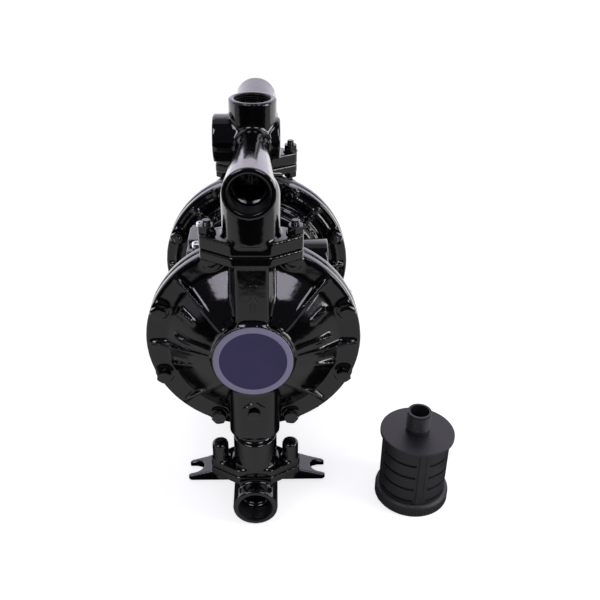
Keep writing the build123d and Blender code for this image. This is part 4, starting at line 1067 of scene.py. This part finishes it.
class PUMP_OT_valve_screws(bpy.types.Operator):
    """Make the socket screws of the air valve"""

    bl_idname = "pump.valve_screws"
    bl_label = "Valve screws"

    def execute(self, context):
        low, high = node_box("valve_cap_screws")
        middle = (low + high) / 2
        screws = []
        for level, out in ((high[2] - SOCKET_HEAD, 1), (low[2] + SOCKET_HEAD, -1)):
            for y in (low[1] + SOCKET_HEAD_R, high[1] - SOCKET_HEAD_R):
                screws += socket_screw((middle[0], y, level), (0, 0, out), CAP_SCREW_SHANK)
        fastener_piece("valve_cap_socket_screws", screws, "steel", "steel", "valve_cap_screws")
        low, high = node_box("valve_block_screws")
        screws = []
        for y in (low[1] + SOCKET_HEAD_R, high[1] - SOCKET_HEAD_R):
            for z in (low[2] + SOCKET_HEAD_R, high[2] - SOCKET_HEAD_R):
                seat = (low[0] + SOCKET_HEAD, y, z)
                screws += socket_screw(seat, (-1, 0, 0), high[0] - low[0] - SOCKET_HEAD)
        fastener_piece("valve_block_socket_screws", screws, "steel", "steel", "valve_block_screws")
        return {"FINISHED"}


# ---- Badges and plugs ----

BADGE_FIELD_SINK = 0.45  # how far the badge's field lies under its rim
PLUG_SINK = 0.3  # how deep a plug's head starts under the cover's surface
PLUG_CLEARANCE = 0.6  # where the surface beside a plug is taken, from the plug's side
PLUG_THREAD = 0.38  # radius of a plug's thread, as a share of the width across its flats


class PUMP_OT_badges(bpy.types.Operator):
    """Make the round badges"""

    bl_idname = "pump.badges"
    bl_label = "Badges"

    def execute(self, context):
        badge = context.scene.pump_badge
        radius, thick = float(BADGE_HIGH[0]), float(BADGE_HIGH[1] - BADGE_LOW[1])
        edge, field = radius - badge.rim_width / MM, thick - BADGE_FIELD_SINK
        profile = [(0, 0), (radius, 0), (radius, thick)]
        profile += [(edge + 0.2, thick), (edge - 0.3, field), (0, field)]
        for end, side in ENDS:
            _, back = outer_and_inner(f"{end}_badge", side)
            place = basis((0, back, AXIS_Z), (0, side, 0))
            grid = turned_grid(place, rounded(profile, 0.5), 160)
            piece = mesh_from_grids(f"{end}_badge_plate", [grid], sharp=50.0)
            fit_out(piece, "badge", "pump", "badge_purple", f"{end}_badge")
        return {"FINISHED"}


class PUMP_OT_plugs(bpy.types.Operator):
    """Make the drain plugs"""

    bl_idname = "pump.plugs"
    bl_label = "Drain plugs"

    def execute(self, context):
        for end, side in ENDS:
            tree = node_tree(f"{end}_fluid_cover")
            low, high = node_box(f"{end}_drain_plug")
            near, far = outer_and_inner(f"{end}_drain_plug", side)
            x, _, z = (low + high) / 2
            reach = (high[0] - low[0]) / 2 + PLUG_CLEARANCE
            (_, level, _), _ = cover_touch(tree, side, reach, z - AXIS_Z)
            across_flats = min(high[0] - low[0], high[2] - low[2])
            turn = tau / 12 if across_flats < high[2] - low[2] else 0.0
            place = basis((x, level - side * PLUG_SINK, z), (0, side, 0))
            head = hex_grid(place, across_flats, abs(near - level) + PLUG_SINK, turn=turn)
            radius = across_flats * PLUG_THREAD
            thread = bolt_end_profile(radius, abs(far - level), SCREW_PITCH, SCREW_DEPTH)
            shank = turned_grid(basis((x, level, z), (0, -side, 0)), thread, 32)
            black_fasteners(f"{end}_hexagon_plug", [head, shank], f"{end}_drain_plug")
        return {"FINISHED"}


# ---- Muffler ----

GRIP_DEPTH = 0.35  # half the height of the cap's grip ribs
SHELL_WALL = 3.85  # from the shell's widest side to the inside of its cap's edge
SPIGOT_GROWTH = 0.4  # how far the thread's crest stands over the spigot's recorded radius
SPIGOT_PITCH, SPIGOT_DEPTH = 1.8, 0.6
SPIGOT_FOOT, SPIGOT_TIP = 4.0, 1.0  # plain lengths at both ends of the spigot's thread
BAND_SECTION = np.array(  # across and out, in millimetres
    [(-4.2, -0.8), (4.2, -0.8), (4.2, 0.75), (3.2, 0.9)]
    + [(2.8, 0.4), (-2.8, 0.4), (-3.2, 0.9), (-4.2, 0.75)]
)
BANDS, FIRST_BAND = 4, 3.5  # number of bands, and the first one's angle in degrees
OUTSIDE = 90.0  # a distance from the muffler's axis that is outside its shell


def upright_band(tree, middle, bottom, angle):
    """Band on the muffler's shell: its section, in the directions across and out, is carried
    straight up from the shell's foot to under the edge of its lid."""
    out = np.array((cos(angle), sin(angle), 0))
    across = np.array((-sin(angle), cos(angle), 0))
    foot, _ = first_touch(tree, middle + OUTSIDE * out + (0, 0, bottom + 2.0), -out)
    lid, _ = first_touch(tree, foot + 1.5 * out, (0, 0, 1))
    head, _ = first_touch(tree, middle + OUTSIDE * out + (0, 0, lid[2] - 4.0), -out)
    ends = ((foot, bottom - 0.5), (head, lid[2]))
    rings = []
    for share, (end, level) in zip((0, 1, 1, 0), (ends[0], *ends, ends[1])):
        points = BAND_SECTION * share
        start = np.array((*end[:2], level))
        rings.append(start + points[:, 1:] * out + points[:, :1] * across)
    return np.stack(rings)


class PUMP_OT_muffler(bpy.types.Operator):
    """Make the muffler's grip cap, spigot thread and upright bands, and finish its shell"""

    bl_idname = "pump.muffler"
    bl_label = "Muffler"

    def execute(self, context):
        dress(frame["nodes"]["muffler_body"], "muffler")
        self.make_cap(context.scene.pump_muffler.knurls)
        self.make_thread()
        self.make_bands()
        return {"FINISHED"}

    def make_cap(self, knurls):
        """Base cap: a profile carried round the axis. Where its third number is 1, the radius
        follows a flattened cosine that rises once for each grip rib."""
        low, high = node_box("muffler_base_cap")
        radius, height = float(high[0] - low[0]) / 2, float(high[2])
        inner = (MUFFLER_HIGH[0] - MUFFLER_LOW[0]) / 2 - SHELL_WALL
        profile = [
            (0.0, 0.0, 0),
            (radius - 1.2, 0.0, 0),
            (radius, 1.0, 0),
            (radius, 1.6, 1),
            (radius, height - 5.0, 1),
            (radius, height - 4.4, 0),
            (radius - 0.2, height - 3.4, 0),
            (radius - 1.6, height - 1.6, 0),
            (inner + 1.2, height - 0.2, 0),
            (inner + 0.4, height, 0),
            (inner, height - 0.3, 0),
            (inner, height / 2, 0),
            (0.0, height / 2, 0),
        ]
        angle = np.linspace(0, tau, knurls * 6, endpoint=False)
        rib = np.clip(np.cos(angle * knurls) * 1.6, -1, 1) * GRIP_DEPTH - GRIP_DEPTH
        rings = [(r + share * rib, h + 0 * rib) for r, h, share in profile]
        place = basis((MUFFLER_X, MUFFLER_Y, 0), (0, 0, 1))
        piece = mesh_from_grids("muffler_grip_cap", [ring_grid(place, rings, angle)], sharp=50.0)
        fit_out(piece, "muffler", "muffler", "muffler_plastic", "muffler_base_cap")

    def make_thread(self):
        """Thread on the spigot at the muffler's top."""
        dims = next(m["dims"] for m in frame["record"]["mounts"] if m["name"] == "muffler_spigot")
        foot = MUFFLER_HIGH[2] - dims["length_mm"] + SPIGOT_FOOT
        length = dims["length_mm"] - SPIGOT_FOOT - SPIGOT_TIP
        place, radius = basis((MUFFLER_X, MUFFLER_Y, foot), (0, 0, 1)), dims["r_mm"] + SPIGOT_GROWTH
        grid = thread_grid(place, radius, length, SPIGOT_PITCH, SPIGOT_DEPTH, inside=False, columns=96)
        piece = mesh_from_grids("muffler_spigot_thread", [grid], closed=True, sharp=60.0)
        fit_out(piece, "muffler", "muffler", "muffler_plastic")

    def make_bands(self):
        """Plain upright bands between the slots, each a flat rib with two raised edges."""
        tree = node_tree("muffler_body")
        middle = np.array((MUFFLER_X, MUFFLER_Y, 0))
        bottom = float(node_box("muffler_base_cap")[1][2])
        angles = [radians(FIRST_BAND + 360.0 / BANDS * i) for i in range(BANDS)]
        bands = [upright_band(tree, middle, bottom, angle) for angle in angles]
        piece = mesh_from_grids("muffler_bands", bands, sharp=30.0)
        fit_out(piece, "muffler", "muffler", "muffler_plastic")


# ---- Carried-over nodes ----

NODE_FINISHES = {
    "rubber": ("front_diaphragm", "rear_diaphragm", "shaft_seals"),
    "gasket": ("front_chamber_gasket", "rear_chamber_gasket", "valve_gasket", "valve_cap_gaskets"),
    "steel": (
        "diaphragm_shaft",
        "plate_screws",
        "front_chamber_screws",
        "rear_chamber_screws",
        "front_pilot_pin",
        "rear_pilot_pin",
        "suction_seats",
        "discharge_seats",
    ),
    "aluminium": (
        "front_inner_plate",
        "rear_inner_plate",
        "front_outer_plate",
        "rear_outer_plate",
        "valve_spool",
    ),
    "brass": ("shaft_bushes", "pilot_bushes", "valve_sleeve"),
    "ptfe": (
        "front_suction_ball",
        "rear_suction_ball",
        "front_discharge_ball",
        "rear_discharge_ball",
        "suction_seat_rings",
        "discharge_seat_rings",
    ),
    "felt": ("muffler_element",),
}


class PUMP_OT_inner_parts(bpy.types.Operator):
    """Finish the diaphragms, plates, shaft, valves and seals"""

    bl_idname = "pump.inner_parts"
    bl_label = "Inner parts"

    def execute(self, context):
        for finish, nodes in NODE_FINISHES.items():
            for node in nodes:
                dress(frame["nodes"][node], finish)
        return {"FINISHED"}


# ---- Stage ----

# Limits of the studio's parts: the share of a direction along an axis where a part is dark, and
# where it is bright. The walls' side and the softboxes' width and height hold on both sides of 0.
BACKDROP_DEPTH, BACKDROP_TOP, BACKDROP_FOOT = (0.1, 0.3), (0.95, 0.7), (-0.15, -0.05)
WALL_SIDE, WALL_TOP = (0.75, 0.95), (0.4, 0.1)
SOFTBOX_FRONT, SOFTBOX_WIDE, SOFTBOX_TALL = (0.2, 0.3), (0.17, 0.15), (0.26, 0.24)
# The same for the table's glow, which only reflections see and which is painted light, in metres: its
# front and sides painted as lit, the soft front edge's half width, and the part at the back painted as
# bright as the backdrop, and its share of that brightness.
TABLE_FRONT, TABLE_SIDE, TABLE_SOFT = (-0.07, -0.2), (0.25, 0.4), 0.02
TABLE_BACK, TABLE_BACK_SHARE = (-0.02, 0.12), 0.7
TABLE_RADII = (0.0, 400.0, 1200.0, 4000.0)  # millimetres
TABLE_LEVEL = -0.2  # just under the feet, in millimetres
TABLE_GLOW = 0.7  # what the camera sees over the light that falls on the table
# The table's colour, and its colour in reflections, which is darkened there as painted shade so that
# reflections see only the painted glow.
TABLE_TONE, MIRRORED_TONE = (0.8, 0.8, 0.8, 1.0), (0.02, 0.02, 0.02, 1.0)
# Name, place, target and width in metres, share of the lamps' power, and colour.
LAMPS = (
    ("lamp_left", (-0.75, -0.75, 1.25), (0.0, 0.0, 0.2), 0.45, 1.0, (1, 1, 1)),
    ("lamp_right", (1.1, -0.4, 0.45), (0.17, -0.1, 0.05), 0.5, 3.2, (1, 1, 1)),
    ("overhead", (0.0, 0.5, 1.9), (0, 0, 0), 1.2, 0.9, (0.95, 0.93, 1.0)),
)
# Angles of the camera in degrees, and its place in metres, with its height over the pump's axis.
CAMERA_DOWN, CAMERA_YAW, CAMERA_ROLL = 30.218, -2.225, 0.950
CAMERA_X, CAMERA_Y, CAMERA_OVER_AXIS = 0.02004, -0.68874, 0.39424


def area_lamp(name, place, target, size, power, colour):
    """Square lamp at a place, turned to a target, all in metres."""
    lamp = bpy.data.lights.new(name, "AREA")
    lamp.shape = "RECTANGLE"
    lamp.size = lamp.size_y = size
    lamp.energy = power
    lamp.color = colour
    holder = bpy.data.objects.new(name, lamp)
    holder.location = place
    holder.rotation_euler = (Vector(target) - Vector(place)).to_track_quat("-Z", "Y").to_euler()
    bpy.context.scene.collection.objects.link(holder)


class PUMP_OT_stage(bpy.types.Operator):
    """Make the floor, the lamps, the world and the camera"""

    bl_idname = "pump.stage"
    bl_label = "Stage"

    def execute(self, context):
        self.make_world(context)
        self.make_floor(context)
        self.make_lamps(context)
        self.make_camera(context)
        context.scene.view_settings.view_transform = "Standard"
        return {"FINISHED"}

    def make_world(self, context):
        """White where the camera looks, and an even tinted light elsewhere. Reflections see a
        studio: a bright backdrop behind the pump, walls beside it, and a dark room in front with
        two softboxes in it. Each part is the product of soft steps over the direction's shares
        along its axes, and their brightness is added up."""
        stage = context.scene.pump_stage
        world = bpy.data.worlds.new("studio")
        context.scene.world = world
        world.use_nodes = True
        graph = world.node_tree
        direction = graph.nodes.new("ShaderNodeTexCoord").outputs["Generated"]
        x, y, z = axes(graph, direction)
        behind = window(graph, y, *BACKDROP_DEPTH)
        low = window(graph, z, *BACKDROP_TOP)
        above = window(graph, z, *BACKDROP_FOOT)
        backdrop = product(graph, product(graph, behind, low), above, stage.backdrop)
        aside = window(graph, size_of(graph, x), *WALL_SIDE)
        near_horizon = window(graph, z, *WALL_TOP)
        walls = product(graph, aside, near_horizon, stage.walls)
        radiance = total(graph, total(graph, backdrop, walls), stage.room)
        azimuth, lift = stage.softbox_azimuth, stage.softbox_height
        for side in (-1, 1):
            out = Vector((side * sin(azimuth) * cos(lift), -cos(azimuth) * cos(lift), sin(lift)))
            across = Vector((0, 0, 1)).cross(out).normalized()
            up = out.cross(across)
            front = window(graph, dot(graph, direction, out), *SOFTBOX_FRONT)
            wide = window(graph, size_of(graph, dot(graph, direction, across)), *SOFTBOX_WIDE)
            tall = window(graph, size_of(graph, dot(graph, direction, up)), *SOFTBOX_TALL)
            face = product(graph, product(graph, front, wide), tall, stage.softbox)
            radiance = total(graph, radiance, face)
        rays = graph.nodes.new("ShaderNodeLightPath")
        camera = rays.outputs["Is Camera Ray"]
        studio = mixed(graph, rays.outputs["Is Glossy Ray"], stage.ambient, radiance)
        tint = mixed(graph, camera, (*stage.tint, 1.0), (1, 1, 1, 1), "RGBA")
        graph.links.new(tint, graph.nodes["Background"].inputs["Color"])
        strength = mixed(graph, camera, studio, 1.0)
        graph.links.new(strength, graph.nodes["Background"].inputs["Strength"])

    def make_floor(self, context):
        """Pale round table that takes the pump's shadow. The camera sees it white. A reflection sees a
        painted glow on it: its front and sides painted as lit up to a front edge, its back painted as
        bright as the backdrop, and its middle, near the pump, left dark as a painted shadow of the
        pump."""
        stage = context.scene.pump_stage
        angle = -np.linspace(0, tau, 64, endpoint=False)
        rings = [(r + 0 * angle, TABLE_LEVEL + 0 * angle) for r in TABLE_RADII]
        floor = mesh_from_grids("floor", [ring_grid(basis((0, 0, 0), (0, 0, 1)), rings, angle)])
        material, graph, shader = new_material("pale_floor")
        shader.inputs["Roughness"].default_value = 0.9
        shader.inputs["Specular IOR Level"].default_value = 0.0
        x, y, _ = axes(graph, object_place(graph))
        # Painted light: only reflections see this glow. It is lit on the table's front and sides, as
        # bright as the backdrop at its back, and dark near the pump as a painted shadow of it.
        edge = -stage.table_edge
        on_table = window(graph, y, edge - TABLE_SOFT, edge + TABLE_SOFT)
        aside = window(graph, size_of(graph, x), *TABLE_SIDE)
        painted_glow_front_sides = maths(graph, "MAXIMUM", window(graph, y, *TABLE_FRONT), aside)
        table = product(graph, on_table, painted_glow_front_sides, stage.table)
        painted_back_glow = scaled(graph, window(graph, y, *TABLE_BACK), stage.backdrop * TABLE_BACK_SHARE)
        rays = graph.nodes.new("ShaderNodeLightPath")
        table = total(graph, table, painted_back_glow)
        painted_glow_in_reflections = product(graph, table, rays.outputs["Is Glossy Ray"])
        seen = scaled(graph, rays.outputs["Is Camera Ray"], TABLE_GLOW)
        graph.links.new(total(graph, painted_glow_in_reflections, seen), shader.inputs["Emission Strength"])
        shader.inputs["Emission Color"].default_value = (1, 1, 1, 1)
        # Reflections see the table's colour darkened as painted shade, under its painted glow.
        tone = mixed(graph, rays.outputs["Is Glossy Ray"], TABLE_TONE, MIRRORED_TONE, "RGBA")
        graph.links.new(tone, shader.inputs["Base Color"])
        floor.data.materials.append(material)

    def make_lamps(self, context):
        """A soft lamp at the front left, a low one at the right and a broad one overhead."""
        power = context.scene.pump_stage.lamps
        for name, place, target, size, share, colour in LAMPS:
            area_lamp(name, place, target, size, power * share, colour)

    def make_camera(self, context):
        """Camera in front of the pump and above it. It looks down by an angle, turned a little
        about the upright, and then rolled about its own direction."""
        pitch, yaw, roll = radians(CAMERA_DOWN), radians(CAMERA_YAW), radians(CAMERA_ROLL)
        look = Vector((-sin(yaw) * cos(pitch), cos(yaw) * cos(pitch), -sin(pitch)))
        level = Vector((cos(yaw), sin(yaw), 0))
        rise = level.cross(look)
        right = cos(roll) * level + sin(roll) * rise
        up = -sin(roll) * level + cos(roll) * rise
        data = bpy.data.cameras.new("front_camera")
        data.sensor_width = 36.0
        data.lens = context.scene.pump_stage.lens
        camera = bpy.data.objects.new("front_camera", data)
        turn = Matrix((right, up, -look)).transposed()
        place = Matrix.Translation((CAMERA_X, CAMERA_Y, CAMERA_OVER_AXIS + AXIS_Z * MM))
        camera.matrix_world = place @ turn.to_4x4()
        context.scene.collection.objects.link(camera)
        context.scene.camera = camera


# ---- Panel and registration ----


class PUMP_PT_panel(bpy.types.Panel):
    """Steps that build the pump"""

    bl_idname = "PUMP_PT_panel"
    bl_label = "Diaphragm Pump"
    bl_space_type = "VIEW_3D"
    bl_region_type = "UI"
    bl_category = "Pump"

    def draw(self, context):
        scene = context.scene
        for group in SETTINGS:
            box = self.layout.box()
            for field in getattr(scene, group).bl_rna.properties:
                if field.identifier not in ("rna_type", "name"):
                    box.prop(getattr(scene, group), field.identifier)
        for operator in OPERATORS:
            self.layout.operator(operator.bl_idname)


SETTINGS = {
    "pump_paint": PumpPaintSettings,
    "pump_castings": PumpCastingSettings,
    "pump_threads": PumpThreadSettings,
    "pump_badge": PumpBadgeSettings,
    "pump_muffler": PumpMufflerSettings,
    "pump_stage": PumpStageSettings,
}

OPERATORS = (
    PUMP_OT_castings,
    PUMP_OT_threads,
    PUMP_OT_cover_fasteners,
    PUMP_OT_flange_fasteners,
    PUMP_OT_valve_screws,
    PUMP_OT_badges,
    PUMP_OT_plugs,
    PUMP_OT_muffler,
    PUMP_OT_inner_parts,
    PUMP_OT_stage,
)


def register():
    for name, group in SETTINGS.items():
        bpy.utils.register_class(group)
        setattr(bpy.types.Scene, name, bpy.props.PointerProperty(type=group))
    for operator in OPERATORS:
        bpy.utils.register_class(operator)
    bpy.utils.register_class(PUMP_PT_panel)


def unregister():
    bpy.utils.unregister_class(PUMP_PT_panel)
    for operator in reversed(OPERATORS):
        bpy.utils.unregister_class(operator)
    for name, group in SETTINGS.items():
        delattr(bpy.types.Scene, name)
        bpy.utils.unregister_class(group)


def main():
    """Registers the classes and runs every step."""
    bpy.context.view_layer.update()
    register()
    for operator in OPERATORS:
        getattr(bpy.ops.pump, operator.bl_idname.split(".")[1])()


if __name__ == "__main__":
    main()
